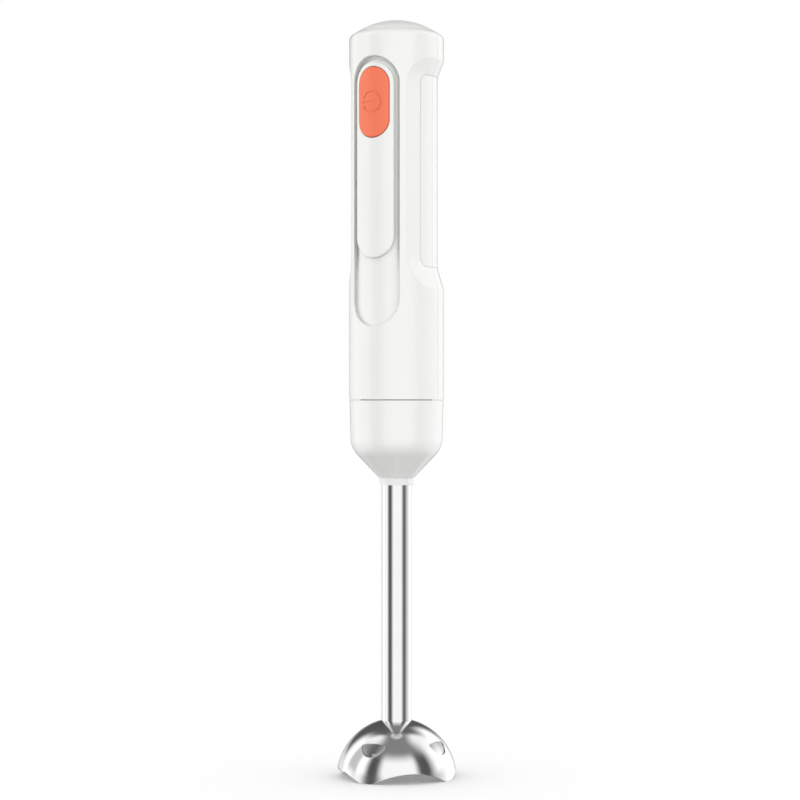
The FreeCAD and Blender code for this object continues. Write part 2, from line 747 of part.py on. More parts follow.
def rim_cutter(azimuth):
    """One arch-shaped prism across the bell: a wide crest arc, tangent to a tighter arc at each foot."""
    low = -6.0
    half = RIM_HALF
    foot_r = (half ** 2 + RIM_HEIGHT ** 2) / (2 * RIM_HEIGHT) - RIM_CREST_R
    share = foot_r / (foot_r + RIM_CREST_R)
    join_x = half * (1 - share)
    join_z = foot_r + (RIM_HEIGHT - RIM_CREST_R - foot_r) * share
    angle = math.atan2(half, foot_r + RIM_CREST_R - RIM_HEIGHT) / 2
    side = foot_r * math.sin(angle)
    rise = foot_r * (1 - math.cos(angle))
    edges = [
        arc((-half, 0, 0), (-half + side, 0, rise), (-join_x, 0, join_z)),
        arc((-join_x, 0, join_z), (0, 0, RIM_HEIGHT), (join_x, 0, join_z)),
        arc((join_x, 0, join_z), (half - side, 0, rise), (half, 0, 0)),
        line((half, 0, 0), (half, 0, low)),
        line((half, 0, low), (-half, 0, low)),
        line((-half, 0, low), (-half, 0, 0)),
    ]
    cutter = Part.Face(Part.Wire(edges)).extrude(Vector(0, BELL_R * 2.4, 0))
    cutter.translate(Vector(0, -BELL_R * 1.2, 0))
    cutter.rotate(Vector(), Vector(0, 0, 1), azimuth)
    return cutter


def vent_cutter(azimuth):
    """A half-moon prism through the wall, over one foot."""
    y = -BELL_R - 3
    edges = [
        arc((-VENT_HALF, y, VENT_CORNER_Z), (0, y, VENT_TOP_Z), (VENT_HALF, y, VENT_CORNER_Z)),
        arc((VENT_HALF, y, VENT_CORNER_Z), (0, y, VENT_LOW_Z), (-VENT_HALF, y, VENT_CORNER_Z)),
    ]
    cutter = Part.Face(Part.Wire(edges)).extrude(Vector(0, BELL_R * 0.6, 0))
    cutter.rotate(Vector(), Vector(0, 0, 1), azimuth)
    return cutter


def bell_guard():
    """A thin polished dome on four feet, with an arch between the feet and a vent over each."""
    centre = Vector(0, 0, BELL_CENTRE_Z)
    dome = Part.makeSphere(BELL_R, centre).cut(Part.makeSphere(BELL_R - BELL_WALL, centre))
    dome = dome.common(block((-40, -40, 0), (40, 40, 40)))
    dome = dome.cut(disc(TUBE_R, 20, 40))
    for azimuth in (45, 135):
        dome = dome.cut(rim_cutter(azimuth))
    for azimuth in (0, 90, 180, 270):
        dome = dome.cut(vent_cutter(azimuth))
    return dome


def upper_bush():
    plug = ring(TUBE_R - TUBE_WALL, SHAFT_R + RUNNING_GAP, 162, TUBE_HIGH_Z)
    return plug.fuse(ring(TUBE_R, SHAFT_R + RUNNING_GAP, TUBE_HIGH_Z, 178)).removeSplitter()


def lower_bush():
    plug = ring(TUBE_R - TUBE_WALL, SHAFT_R + RUNNING_GAP, TUBE_LOW_Z, 43)
    return plug.fuse(ring(8.8, SHAFT_R + RUNNING_GAP, 24, TUBE_LOW_Z)).removeSplitter()


def shaft_seal():
    return ring(6.0, SHAFT_R + RUNNING_GAP, 20.8, 24)


def seal_retainer():
    return ring(8.6, 6.0, 20.0, 24).fuse(ring(8.6, 3.2, 20.0, 20.8)).removeSplitter()


# ---- blade drive ----
def drive_shaft():
    return disc(SHAFT_R, 8.0, 185.0)


def driven_coupling():
    """The foot's half of the dog clutch, facing up."""
    base = ring(DOG_R, SHAFT_R, 179.5, 185.0).fuse(disc(DOG_R, 185.0, 185.6))
    return base.fuse(dogs(185.6, 192.6, DOG_ANGLE + DOG_PLAY))


def thrust_washers():
    return ring(4.8, SHAFT_R, 178.4, 179.5)


def retaining_clip():
    clip = ring(4.4, SHAFT_R, 43.4, 44.2)
    return clip.cut(block((-1.6, 0, 43), (1.6, 6, 45)))


def blade_spacer():
    return ring(4.6, SHAFT_R, BLADE_Z + BLADE_THICKNESS / 2, 19.6)


def bevel_cutter(start, end):
    """A wedge that grinds the blade's top face away towards the edge between two points."""
    outward = Vector(0, 0, 1).cross((end - start).normalize())
    top = Vector(0, 0, BLADE_Z + BLADE_THICKNESS / 2)
    drop = (BLADE_THICKNESS - BLADE_EDGE) * (1 + 1 / BEVEL_WIDTH)
    inner = start - outward * BEVEL_WIDTH + top
    outer = start + outward + top
    low = outer - Vector(0, 0, drop)
    return Part.Face(Part.makePolygon([inner, outer, low, inner])).extrude(end - start)


def blade():
    """Two opposed wings with bevelled leading edges and tips bent up and down."""
    low = BLADE_Z - BLADE_THICKNESS / 2
    high = BLADE_Z + BLADE_THICKNESS / 2
    shoulder = -BLADE_FLAT_END
    end = 0.4 - BLADE_R
    form = disc(BLADE_HUB_R, low, high)
    for turn, bend in TIP_BENDS:
        root = Vector(BLADE_HALF, -BLADE_HUB_R, 0)
        corner = Vector(BLADE_HALF, shoulder + 0.3, 0)
        point = Vector(1.6, end, 0)
        wing = prism([
            Vector(-BLADE_HALF, 0, 0),
            Vector(BLADE_HALF, 0, 0),
            Vector(BLADE_HALF, shoulder, 0),
            Vector(-BLADE_HALF, shoulder, 0),
        ], low, high)
        wing = wing.cut(bevel_cutter(root, Vector(BLADE_HALF, shoulder, 0)))
        tip = prism([Vector(-BLADE_HALF, shoulder + 0.3, 0), corner, point, Vector(-2.6, end, 0)], low, high)
        tip = tip.cut(bevel_cutter(corner, point))
        tip.rotate(Vector(0, shoulder, BLADE_Z), Vector(1, 0, 0), -bend)
        wing = wing.fuse(tip)
        wing.rotate(Vector(), Vector(0, 0, 1), turn)
        form = form.fuse(wing)
    return form.cut(disc(SHAFT_R, 0, 30)).removeSplitter()


def blade_nut():
    """A hexagon nut with a domed end under the blade."""
    top = BLADE_Z - BLADE_THICKNESS / 2
    hexagon = prism([polar(4.3, 60 * k) for k in range(6)], top - 3.2, top)
    dome = Part.makeSphere(4.6, Vector(0, 0, top - 0.2))
    return hexagon.common(dome).cut(disc(SHAFT_R, 8.0, 30))


NODES = {
    "front_housing": front_housing,
    "rear_housing": rear_housing,
    "top_cap": top_cap,
    "control_panel": control_panel,
    "bayonet_ring": bayonet_ring,
    "ring_screws": ring_screws,
    "motor_screws": motor_screws,
    "control_board": control_board,
    "switch_body": switch_body,
    "power_transistor": power_transistor,
    "heat_sink": heat_sink,
    "capacitor": capacitor,
    "lead_connector": lead_connector,
    "lead_wires": lead_wires,
    "battery_cells": battery_cells,
    "battery_tabs": battery_tabs,
    "battery_holder": battery_holder,
    "charge_board": charge_board,
    "charge_socket": charge_socket,
    "button_spring": button_spring,
    "motor_bracket": motor_bracket,
    "motor_can": motor_can,
    "motor_end_cap": motor_end_cap,
    "motor_magnets": motor_magnets,
    "motor_bushes": motor_bushes,
    "carbon_brushes": carbon_brushes,
    "rubber_ring": rubber_ring,
    "power_button": power_button,
    "switch_plunger": switch_plunger,
    "port_cover": port_cover,
    "motor_shaft": motor_shaft,
    "armature_core": armature_core,
    "armature_windings": armature_windings,
    "commutator": commutator,
    "cooling_fan": cooling_fan,
    "drive_coupling": drive_coupling,
    "foot_hub": foot_hub,
    "tube_clamp": tube_clamp,
    "clamp_screws": clamp_screws,
    "shaft_collar": shaft_collar,
    "shaft_tube": shaft_tube,
    "bell_guard": bell_guard,
    "upper_bush": upper_bush,
    "lower_bush": lower_bush,
    "shaft_seal": shaft_seal,
    "seal_retainer": seal_retainer,
    "drive_shaft": drive_shaft,
    "driven_coupling": driven_coupling,
    "thrust_washers": thrust_washers,
    "retaining_clip": retaining_clip,
    "blade_spacer": blade_spacer,
    "blade": blade,
    "blade_nut": blade_nut,
}

os.makedirs("parts", exist_ok=True)
for name, make in NODES.items():
    shape = make()
    if isinstance(shape, list):
        shape = Part.makeCompound(shape)
    solids = shape.Solids
    print(f"{name:20s} solids {len(solids)}  valid {shape.isValid()}  volume {shape.Volume:9.1f}")
    shape.exportStep(f"parts/{name}.step")
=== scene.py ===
import json
import math

import bpy
import bmesh
import numpy as np
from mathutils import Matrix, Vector
from mathutils.geometry import delaunay_2d_cdt


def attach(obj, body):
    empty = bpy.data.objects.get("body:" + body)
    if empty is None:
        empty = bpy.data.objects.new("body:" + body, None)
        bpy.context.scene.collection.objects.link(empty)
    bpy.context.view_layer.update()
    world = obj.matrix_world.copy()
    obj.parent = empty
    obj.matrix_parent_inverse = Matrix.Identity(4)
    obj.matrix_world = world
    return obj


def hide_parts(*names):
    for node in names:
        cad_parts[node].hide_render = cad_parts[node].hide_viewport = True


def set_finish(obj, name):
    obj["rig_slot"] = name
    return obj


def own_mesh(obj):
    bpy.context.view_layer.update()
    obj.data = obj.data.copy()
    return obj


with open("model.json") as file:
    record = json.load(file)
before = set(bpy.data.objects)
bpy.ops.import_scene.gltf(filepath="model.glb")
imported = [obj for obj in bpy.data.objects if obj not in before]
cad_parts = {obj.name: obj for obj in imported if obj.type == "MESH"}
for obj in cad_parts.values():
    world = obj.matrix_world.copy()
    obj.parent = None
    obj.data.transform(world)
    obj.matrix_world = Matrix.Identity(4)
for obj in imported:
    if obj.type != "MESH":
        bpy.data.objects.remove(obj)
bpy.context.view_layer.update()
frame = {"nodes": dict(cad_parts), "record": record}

MM = 0.001

# ---------------------------------------------------------------- camera
VIEW_AZIMUTH = math.radians(30.0)
VIEW_DISTANCE = 1.27
VIEW_HEIGHT = 0.199
VIEW_SIDE = 0.00185
LENS = 108.0
SENSOR_WIDTH = 36.0

# ---------------------------------------------------------------- sizes in millimetres, as in the CAD
BODY_R = 25.0
LOW_Z = 199.2
SHOULDER_Z = 389.0
SHOULDER_R = 3.2
SHOULDER_SLOPE = math.radians(31.0)
SHOULDER_ARC = math.pi / 2 - SHOULDER_SLOPE
SEAT_R = 19.15
SPLIT_Y = 0.06
EDGE_ROUND = 0.3
TOP_ROUND = 0.2
GRIP_DEPTH = 3.3
GRIP_FLAT_R = 21.43
GRIP_FLAT_AZIMUTH = math.radians(73.95)
GRIP_FRONT = math.radians(43.0)
GRIP_SPAN = math.radians(22.0)
# the height where each ramp leaves the body and the length of its run: lower, then upper
GRIP_RAMPS = (257.7, 11.0, 377.8, 8.6)
GRIP_CORNER = 1.55
# the radius of the grey bead that paints the crease's shade as a dark line
SHADE_BEAD_R = 0.17

BELL_R = 31.75
BELL_WALL = 1.0
BELL_CENTRE_Z = -1.1
TUBE_R = 8.0
TUBE_WALL = 1.0
RIM_HEIGHT = 5.4
RIM_HALF = 21.5
RIM_CREST_R = 39.0
VENT_HALF = 7.1
VENT_HEIGHTS = (13.5, 18.8, 19.8)
BELL_ROUND = (0.35, 0.25)
# the block of mesh round a vent: half its width in degrees, and its margin above and below
VENT_BLOCK = 18
VENT_MARGIN = 1.6
VENT_CLEARANCE = 0.55

SPRING_R = 3.4
SPRING_WIRE_R = 0.25
SPRING_TURNS = 3.5
SPRING_Y = (-20.5, -16.3)
SPRING_Z = 354.1


# ---------------------------------------------------------------- mesh building
class Surface:
    """Collects vertices and faces in millimetres, with exact normals where they are known."""

    def __init__(self):
        self.points = []
        self.faces = []
        self.normals = {}

    def add(self, points, normals=None):
        """Adds an array of points of any shape and returns their numbers in the same shape."""
        points = np.asarray(points, dtype=float)
        flat = points.reshape(-1, 3)
        first = len(self.points)
        self.points.extend(map(tuple, flat))
        if normals is not None:
            for k, n in enumerate(np.asarray(normals, dtype=float).reshape(-1, 3)):
                self.normals[first + k] = n
        return np.arange(first, first + len(flat)).reshape(points.shape[:-1])

    def strip(self, a, b, closed=False):
        """Quads between two rows of the same length."""
        count = len(a) if closed else len(a) - 1
        for k in range(count):
            m = (k + 1) % len(a)
            self.faces.append((int(a[k]), int(a[m]), int(b[m]), int(b[k])))

    def rounds(self, rows, closed=False):
        """Quads between each row and the next, and from the last row back to the first."""
        for a, b in zip(rows, rows[1:] + rows[:1]):
            self.strip(a, b, closed)

    def cells(self, grid, closed=False, skip=()):
        """Quads over a grid of numbers, except in the skipped rectangles (i0, i1, j0, j1)."""
        rows, columns = grid.shape
        for j in range(rows - 1):
            for i in range(columns if closed else columns - 1):
                if any(i0 <= i < i1 and j0 <= j < j1 for i0, i1, j0, j1 in skip):
                    continue
                k = (i + 1) % columns
                low, high = grid[j], grid[j + 1]
                self.faces.append((int(low[i]), int(low[k]), int(high[k]), int(high[i])))

    def fill(self, border, border_uv, hole, hole_uv, inner, inner_uv, clearance):
        """Triangles between a border and a hole, through the inner points that stand clear of it."""
        hole_uv = np.asarray(hole_uv)
        inner_uv = np.asarray(inner_uv).reshape(-1, 2)
        inner = np.asarray(inner).reshape(-1)
        if len(inner):
            away = np.min(np.linalg.norm(inner_uv[:, None] - hole_uv[None], axis=2), axis=1)
            keep = (away > clearance) & ~inside(inner_uv, hole_uv)
            inner, inner_uv = inner[keep], inner_uv[keep]
        numbers = list(map(int, border)) + list(map(int, hole)) + list(map(int, inner))
        flat = [Vector(p) for p in list(border_uv) + list(hole_uv) + list(inner_uv)]
        nb, nh = len(border), len(hole)
        edges = [(k, (k + 1) % nb) for k in range(nb)]
        edges += [(nb + k, nb + (k + 1) % nh) for k in range(nh)]
        made = delaunay_2d_cdt(flat, edges, [], 1, 1e-7)
        spots, triangles, sources = np.array([tuple(v) for v in made[0]]), made[2], made[3]
        middles = np.array([spots[list(f)].mean(axis=0) for f in triangles])
        hollow = inside(middles, hole_uv)
        for face, gap in zip(triangles, hollow):
            if not gap:
                self.faces.append(tuple(numbers[sources[v][0]] for v in face))

    def stitch(self, grid, block, spot, ring, ring_uv, clearance):
        """Triangles between a ring and the edge of the block (i0, i1, j0, j1) of cells round it. spot
        gives the flat place of the grid's point (j, i)."""
        i0, i1, j0, j1 = block
        border = [(j0, i) for i in range(i0, i1)] + [(j, i1) for j in range(j0, j1)]
        border += [(j1, i) for i in range(i1, i0, -1)] + [(j, i0) for j in range(j1, j0, -1)]
        inner = [(j, i) for j in range(j0 + 1, j1) for i in range(i0 + 1, i1)]
        self.fill([grid[k] for k in border], [spot(*k) for k in border], ring, ring_uv,
                  [grid[k] for k in inner], [spot(*k) for k in inner], clearance)

    def build(self, name, sharp=32.0):
        """The finished Blender object, in metres."""
        mesh = bpy.data.meshes.new(name)
        mesh.from_pydata((np.array(self.points) * MM).tolist(), [], self.faces)
        edit = bmesh.new()
        edit.from_mesh(mesh)
        layer = edit.verts.layers.int.new("made")
        for v in edit.verts:
            v[layer] = v.index
        bmesh.ops.delete(edit, geom=[v for v in edit.verts if not v.link_faces], context="VERTS")
        bmesh.ops.recalc_face_normals(edit, faces=edit.faces)
        for edge in edit.edges:
            edge.smooth = edge.calc_face_angle(0.0) < math.radians(sharp)
        for face in edit.faces:
            face.smooth = True
        edit.to_mesh(mesh)
        edit.free()
        if self.normals:
            self.exact_normals(mesh)
        mesh.attributes.remove(mesh.attributes["made"])
        obj = bpy.data.objects.new(name, mesh)
        bpy.context.scene.collection.objects.link(obj)
        return obj

    def exact_normals(self, mesh):
        """Gives the corners at points with a known normal that normal."""
        made = np.zeros(len(mesh.vertices), dtype=np.int32)
        mesh.attributes["made"].data.foreach_get("value", made)
        corner = np.zeros(len(mesh.loops) * 3)
        mesh.corner_normals.foreach_get("vector", corner)
        corner = corner.reshape(-1, 3)
        for k, loop in enumerate(mesh.loops):
            exact = self.normals.get(int(made[loop.vertex_index]))
            if exact is not None:
                corner[k] = exact
        mesh.normals_split_custom_set(corner.tolist())


def inside(points, outline):
    """Which points lie inside a closed outline."""
    x, y = points[:, 0], points[:, 1]
    result = np.zeros(len(points), dtype=bool)
    for (ax, ay), (bx, by) in zip(outline, np.roll(outline, -1, axis=0)):
        crosses = (ay > y) != (by > y)
        if by != ay:
            result ^= crosses & (x < (bx - ax) * (y - ay) / (by - ay) + ax)
    return result


def spaced(start, *parts):
    """Values from start through each (end, step), evenly spaced in each part."""
    values = [start]
    for end, step in parts:
        count = max(1, round(abs(end - values[-1]) / step))
        values += list(np.linspace(values[-1], end, count + 1)[1:])
    return np.array(values)


# where a rounded edge gets its points, as shares of its radius
ROUND = (0.0, 0.04, 0.14, 0.32, 0.6, 1.0, 1.8)


def round_drop(distance, radius):
    """How far a rounded edge lies below the surface, at a distance from the edge."""
    near = np.clip(radius - distance, 0, radius)
    return radius - np.sqrt(np.maximum(radius ** 2 - near ** 2, 0))


def slot_outline(half_x, half_z, centre_z, arc=22, run=1.6):
    """A slot shape's middle line and outward normals, and its half width. At distance d beyond the
    outline a point is middle + normal * (half width + d)."""
    small = min(half_x, half_z)
    long = max(half_x, half_z) - small
    steps = max(1, round(2 * long / run))
    along = np.linspace(-long, long, steps + 1)
    middle, normal = [], []
    for turn in (0, 1):
        sign = 1 - 2 * turn
        for a in along[1:-1]:
            middle.append((0.0, a * sign))
            normal.append((sign, 0.0))
        for k in range(arc + 1):
            angle = math.pi * (k / arc + turn)
            middle.append((0.0, long * sign))
            normal.append((math.cos(angle), math.sin(angle)))
    middle, normal = np.array(middle), np.array(normal)
    if half_x > half_z:
        middle = np.stack([middle[:, 1], -middle[:, 0]], axis=1)
        normal = np.stack([normal[:, 1], -normal[:, 0]], axis=1)
    return middle + (0, centre_z), normal, small


# ---------------------------------------------------------------- handle housing
def housing_profile(v):
    """Radius, height and outward normal on the body's outline at a distance v along it."""
    turn = np.clip((v - SHOULDER_Z) / SHOULDER_R, 0, SHOULDER_ARC)
    run = np.maximum(v - SHOULDER_Z - SHOULDER_R * SHOULDER_ARC, 0)
    r = BODY_R - SHOULDER_R + SHOULDER_R * np.cos(turn) - run * math.cos(SHOULDER_SLOPE)
    z = np.minimum(v, SHOULDER_Z) + SHOULDER_R * np.sin(turn) + run * math.sin(SHOULDER_SLOPE)
    return r, z, np.cos(turn), np.sin(turn)


def profile_end():
    """The distance along the body's outline at which it meets the cap's seat."""
    top_r = BODY_R - SHOULDER_R + SHOULDER_R * math.cos(SHOULDER_ARC)
    return SHOULDER_Z + SHOULDER_R * SHOULDER_ARC + (top_r - SEAT_R) / math.cos(SHOULDER_SLOPE)


def soft_clamp(t, soft=0.05):
    """t held between 0 and 1, with rounded turns at both ends."""
    t = np.where(t < -soft, 0.0, np.where(t < soft, (t + soft) ** 2 / (4 * soft), t))
    over = t - 1
    return np.where(over > soft, 1.0, np.where(over > -soft, t - (over + soft) ** 2 / (4 * soft), t))


def grip_depth(azimuth, z):
    """Depth of the finger recess: a flat on each side, a ramp above and below, and round corners."""
    low, low_run, high, high_run = GRIP_RAMPS
    x = (azimuth - GRIP_FRONT) / GRIP_SPAN
    y = np.minimum((high - z) / high_run, (z - low) / low_run)
    dx, dy = GRIP_CORNER - x, GRIP_CORNER - y
    corner = (dx > 0) & (dy > 0)
    t = np.where(corner, GRIP_CORNER - np.hypot(dx, dy), np.minimum(x, y))
    share = np.where(corner, dx ** 2 / np.maximum(dx ** 2 + dy ** 2, 1e-9), (x < y).astype(float))
    t = soft_clamp(t)
    side = BODY_R - GRIP_FLAT_R / np.cos(GRIP_FLAT_AZIMUTH - (GRIP_FRONT + GRIP_SPAN * t))
    side = np.clip(side, 0, GRIP_DEPTH)
    return share * side + (1 - share) * GRIP_DEPTH * t


CLEARANCE = 0.5
GROOVE_STEPS = 6


def housing(name, facing, opening, opening_round, floor_r, floor_round, through, inner, patch, inner_patch,
            groove=(0.0, 0.0, 0.0, 1.0)):
    """Half of the handle. facing is -1 for the front and 1 for the rear; opening and through are the
    half sizes and height of the pocket in the outside and of the hole in the pocket's floor. inner is
    the inside's outline. patch is the block of the outside round the pocket, and inner_patch the block
    of the inside round the hole, with the two points of inner below and above it. groove is the depth
    and width of a channel along the pocket's wall, and the heights where it fades in."""
    s = Surface()
    end = BODY_R * math.pi / 2 - SPLIT_Y
    near = [end - EDGE_ROUND * k for k in ROUND]
    right = list(spaced(0.0, (15.5, 1.2), (30.0, 0.55), (near[-1], 1.2)))[1:-1] + near[::-1]
    u = np.array([-k for k in right[::-1]] + [0.0] + right)
    top = profile_end()
    v = list(LOW_Z + EDGE_ROUND * np.array(ROUND[:-1]))
    v += list(spaced(LOW_Z + EDGE_ROUND * ROUND[-1], (255.0, 6.0), (272.0, 0.6), (366.0, 4.0), (381.2, 0.5),
                     (SHOULDER_Z, 1.0), (SHOULDER_Z + 3.6, 0.3), (top - TOP_ROUND * ROUND[-1], 0.7)))
    v += [top - TOP_ROUND * k for k in ROUND[:-1][::-1]]
    v = np.array(v)
    uu, vv = np.meshgrid(u, v)
    azimuth = uu / BODY_R
    from_front = np.abs(azimuth) if facing < 0 else math.pi - np.abs(azimuth)
    r, z, nr, nz = housing_profile(vv)
    drop = grip_depth(from_front, z) + round_drop(end - np.abs(uu), EDGE_ROUND)
    drop += round_drop(vv - LOW_Z, EDGE_ROUND) + round_drop(top - vv, TOP_ROUND)
    r, z = r - drop * nr, z - drop * nz

    def place(r, z):
        y = np.maximum(r * np.cos(azimuth[:len(r)]), SPLIT_Y)
        y[:, [0, -1]] = SPLIT_Y
        return np.stack([r * np.sin(azimuth[:len(r)]), facing * y, z], axis=-1)

    grid = s.add(place(r, z))

    def on_cylinder(xz, radius):
        return np.stack([xz[:, 0], facing * np.sqrt(radius ** 2 - xz[:, 0] ** 2), xz[:, 1]], axis=-1)

    middle, normal, small = slot_outline(*opening)
    rings = []
    for k in ROUND:
        d = k * opening_round
        level = BODY_R - round_drop(d, opening_round)
        rings.append(s.add(on_cylinder(middle + normal * (small + d), level)))
    for a, b in zip(rings[:-1], rings[1:]):
        s.strip(a, b, closed=True)
    outer = middle + normal * (small + ROUND[-1] * opening_round)
    outer_uv = np.stack([BODY_R * np.arcsin(outer[:, 0] / BODY_R), outer[:, 1]], axis=-1)
    punch(s, grid, u, v, patch, rings[-1], outer_uv)

    below = rings[0]
    edge_xz = middle + normal * small
    depth, width, fade_low, fade_high = groove
    fade = np.clip((edge_xz[:, 1] - fade_low) / (fade_high - fade_low), 0, 1)
    sunk = depth * fade ** 2 * (3 - 2 * fade)
    for level in (BODY_R - opening_round - 0.25, floor_r + floor_round + 0.2 - sunk):
        ring = s.add(on_cylinder(edge_xz, level))
        s.strip(below, ring, closed=True)
        below = ring
    for turn in np.radians((0, 18, 36, 54, 72, 90)):
        inset = floor_round * (1 - math.cos(turn))
        level = floor_r + floor_round * (1 - math.sin(turn)) - sunk
        ring = s.add(on_cylinder(middle + normal * (small - inset), level))
        s.strip(below, ring, closed=True)
        below = ring
    for step in range(1, GROOVE_STEPS + 1) if depth else ():
        inset = floor_round + (width - floor_round) * step / GROOVE_STEPS
        level = floor_r - sunk * (1 + math.cos(math.pi * step / GROOVE_STEPS)) / 2
        ring = s.add(on_cylinder(middle + normal * (small - inset), level))
        s.strip(below, ring, closed=True)
        below = ring
    floor_xz = middle + normal * (small - inset)

    hole_middle, hole_normal, hole_small = slot_outline(*through)
    hole_xz = hole_middle + hole_normal * hole_small
    upper = s.add(on_cylinder(hole_xz, floor_r))
    half_x, half_z, centre = opening
    across = np.arange(-half_x + 1, half_x - 0.5, 1.3)
    upward = np.arange(centre - half_z + 1, centre + half_z, 3.0)
    spots = np.stack(np.meshgrid(across, upward), axis=-1).reshape(-1, 2)
    away = np.min(np.linalg.norm(spots[:, None] - floor_xz[None], axis=2), axis=1)
    spots = spots[inside(spots, floor_xz) & (away > CLEARANCE)]
    s.fill(below, floor_xz, upper, hole_xz, s.add(on_cylinder(spots, floor_r)), spots, CLEARANCE)

    path_r, path_z = np.array(inner).T
    inner_r = np.repeat(path_r[:, None], len(u), axis=1)
    inner_z = np.repeat(path_z[:, None], len(u), axis=1)
    lining = np.vstack([grid[0], s.add(place(inner_r, inner_z)), grid[-1]])
    left, right, under, over = inner_patch
    wall_r = path_r[under]
    lower = s.add(on_cylinder(hole_xz, wall_r))
    s.strip(upper, lower, closed=True)
    lower_uv = np.stack([BODY_R * np.arcsin(hole_xz[:, 0] / wall_r), hole_xz[:, 1]], axis=-1)
    heights = np.concatenate([[LOW_Z - 1], path_z, [top + 1]])
    punch(s, lining, u, heights, (left, right, path_z[under], path_z[over]), lower, lower_uv,
          rows=(under + 1, over + 1))
    for side in (0, -1):
        column = list(map(int, grid[:, side])) + list(map(int, lining[1:-1, side][::-1]))
        s.faces.append(tuple(column))
    return s.build(name)


def nearest(values, value):
    return int(np.argmin(np.abs(values - value)))


def punch(s, grid, u, v, patch, ring, ring_uv, rows=None):
    """Quads over the grid, but triangles round the ring inside the patch (u0, u1, v0, v1). rows gives
    the patch's first and last row where they are known."""
    rows = rows or (nearest(v, patch[2]), nearest(v, patch[3]))
    block = (nearest(u, patch[0]), nearest(u, patch[1]), *rows)
    s.cells(grid, skip=[block])
    s.stitch(grid, block, lambda j, i: (u[i], v[j]), ring, ring_uv, CLEARANCE)


def make_housings():
    """Both halves of the handle. Inside they have a lip at the foot, a plain wall that is thicker behind
    the recesses, and a ledge under the cap's seat."""
    lip, wall, thick, ledge = 19.2, 22.8, 19.7, 16.5
    seat_z = float(housing_profile(np.array([profile_end()]))[1][0]) - 0.35
    bottom = [(lip, LOW_Z), (lip, 201.4), (wall, 201.4)]
    top = [(wall, 390.0), (ledge, 390.0), (ledge, 392.8), (SEAT_R, 392.8), (SEAT_R, seat_z)]
    front_middle = [(wall, 231.0), (thick, 234.0), (thick, 325.0), (thick, 380.2), (thick, 381.0),
                    (wall, 383.5)]
    rear_middle = [(wall, 257.2), (thick, 268.7), (thick, 369.2), (wall, 378.3), (wall, 381.0),
                   (wall, 389.0)]
    front = housing(
        "front_shell", -1, opening=(13.7, 70.45, 307.85), opening_round=0.5, floor_r=22.7, floor_round=0.4,
        through=(10.1, 19.5, 354.1), inner=bottom + front_middle + top, patch=(-17.5, 17.5, 232.0, 382.0),
        inner_patch=(-15.5, 15.5, 5, 6), groove=(1.6, 3.0, 262.0, 284.0))
    rear = housing(
        "rear_shell", 1, opening=(7.5, 4.0, 385.0), opening_round=0.2, floor_r=24.0, floor_round=0.15,
        through=(4.8, 1.9, 385.0), inner=bottom + rear_middle + top, patch=(-10.0, 10.0, 379.9, 390.4),
        inner_patch=(-8.0, 8.0, 7, 8))
    for obj, node in ((front, "front_housing"), (rear, "rear_housing")):
        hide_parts(node)
        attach(obj, "handle")
        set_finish(obj, "white_shell")
    return front, rear


def grip_contour():
    """Where the recess's ramps meet its floor, as (azimuth, height) once round the object."""
    low, low_run, high, high_run = GRIP_RAMPS
    front = GRIP_FRONT + GRIP_SPAN
    round_x = (GRIP_CORNER - 1) * GRIP_SPAN
    points = []
    for k in range(25):
        t = math.pi / 2 * k / 24
        azimuth = front + round_x * (1 - math.sin(t))
        points.append((azimuth, high - high_run * (1 + (GRIP_CORNER - 1) * (1 - math.cos(t)))))
    corner = points[::-1]
    lower = []
    for azimuth, z in corner:
        share = (high - high_run - z) / high_run
        lower.append((azimuth, low + low_run * (1 + share)))
    upright = [(front, z) for z in np.linspace(corner[0][1], lower[0][1], 40)[1:-1]]
    half = [(a, corner[-1][1]) for a in np.linspace(math.pi, corner[-1][0], 60)[:-1]] + corner[::-1]
    half += upright + lower + [(a, lower[-1][1]) for a in np.linspace(lower[-1][0], math.pi, 60)[1:]]
    other = [(2 * math.pi - a, z) for a, z in half[1:-1][::-1]]
    return half + other


def crease_shade_bead():
    """A fine grey bead laid along the foot of the recess's ramps. It is a dark thing standing in for the
    shade in that crease: painted shade.
    """
    contour = grip_contour()
    path = []
    bedded = 0.02
    for azimuth, z in contour:
        folded = min(azimuth, 2 * math.pi - azimuth)
        r = BODY_R - float(grip_depth(np.array(folded), np.array(z))) - bedded
        path.append((r * math.sin(azimuth), -r * math.cos(azimuth), z))
    path = np.array(path)
    radial = path * (1, 1, 0)
    radial /= np.linalg.norm(radial, axis=1)[:, None]
    along = np.roll(path, -1, axis=0) - np.roll(path, 1, axis=0)
    along /= np.linalg.norm(along, axis=1)[:, None]
    across = np.cross(along, radial)
    s = Surface()
    turns = [2 * math.pi * k / 8 for k in range(8)]
    rows = [s.add(path + SHADE_BEAD_R * (math.cos(t) * radial + math.sin(t) * across)) for t in turns]
    s.rounds(rows, closed=True)
    obj = s.build("crease_shade_bead", sharp=180.0)
    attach(obj, "handle")
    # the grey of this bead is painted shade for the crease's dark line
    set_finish(obj, "grey_nylon")
    return obj


# ---------------------------------------------------------------- bell guard and tube
def rim_height(offset):
    """Height of the wavy rim at a distance from the middle of its arch."""
    half = RIM_HALF
    foot_r = (half ** 2 + RIM_HEIGHT ** 2) / (2 * RIM_HEIGHT) - RIM_CREST_R
    join = half * RIM_CREST_R / (foot_r + RIM_CREST_R)
    x = np.minimum(np.abs(offset), half)
    crest = RIM_HEIGHT - RIM_CREST_R + np.sqrt(RIM_CREST_R ** 2 - x ** 2)
    foot = foot_r - np.sqrt(np.maximum(foot_r ** 2 - (half - x) ** 2, 0))
    return np.where(x < join, crest, foot)


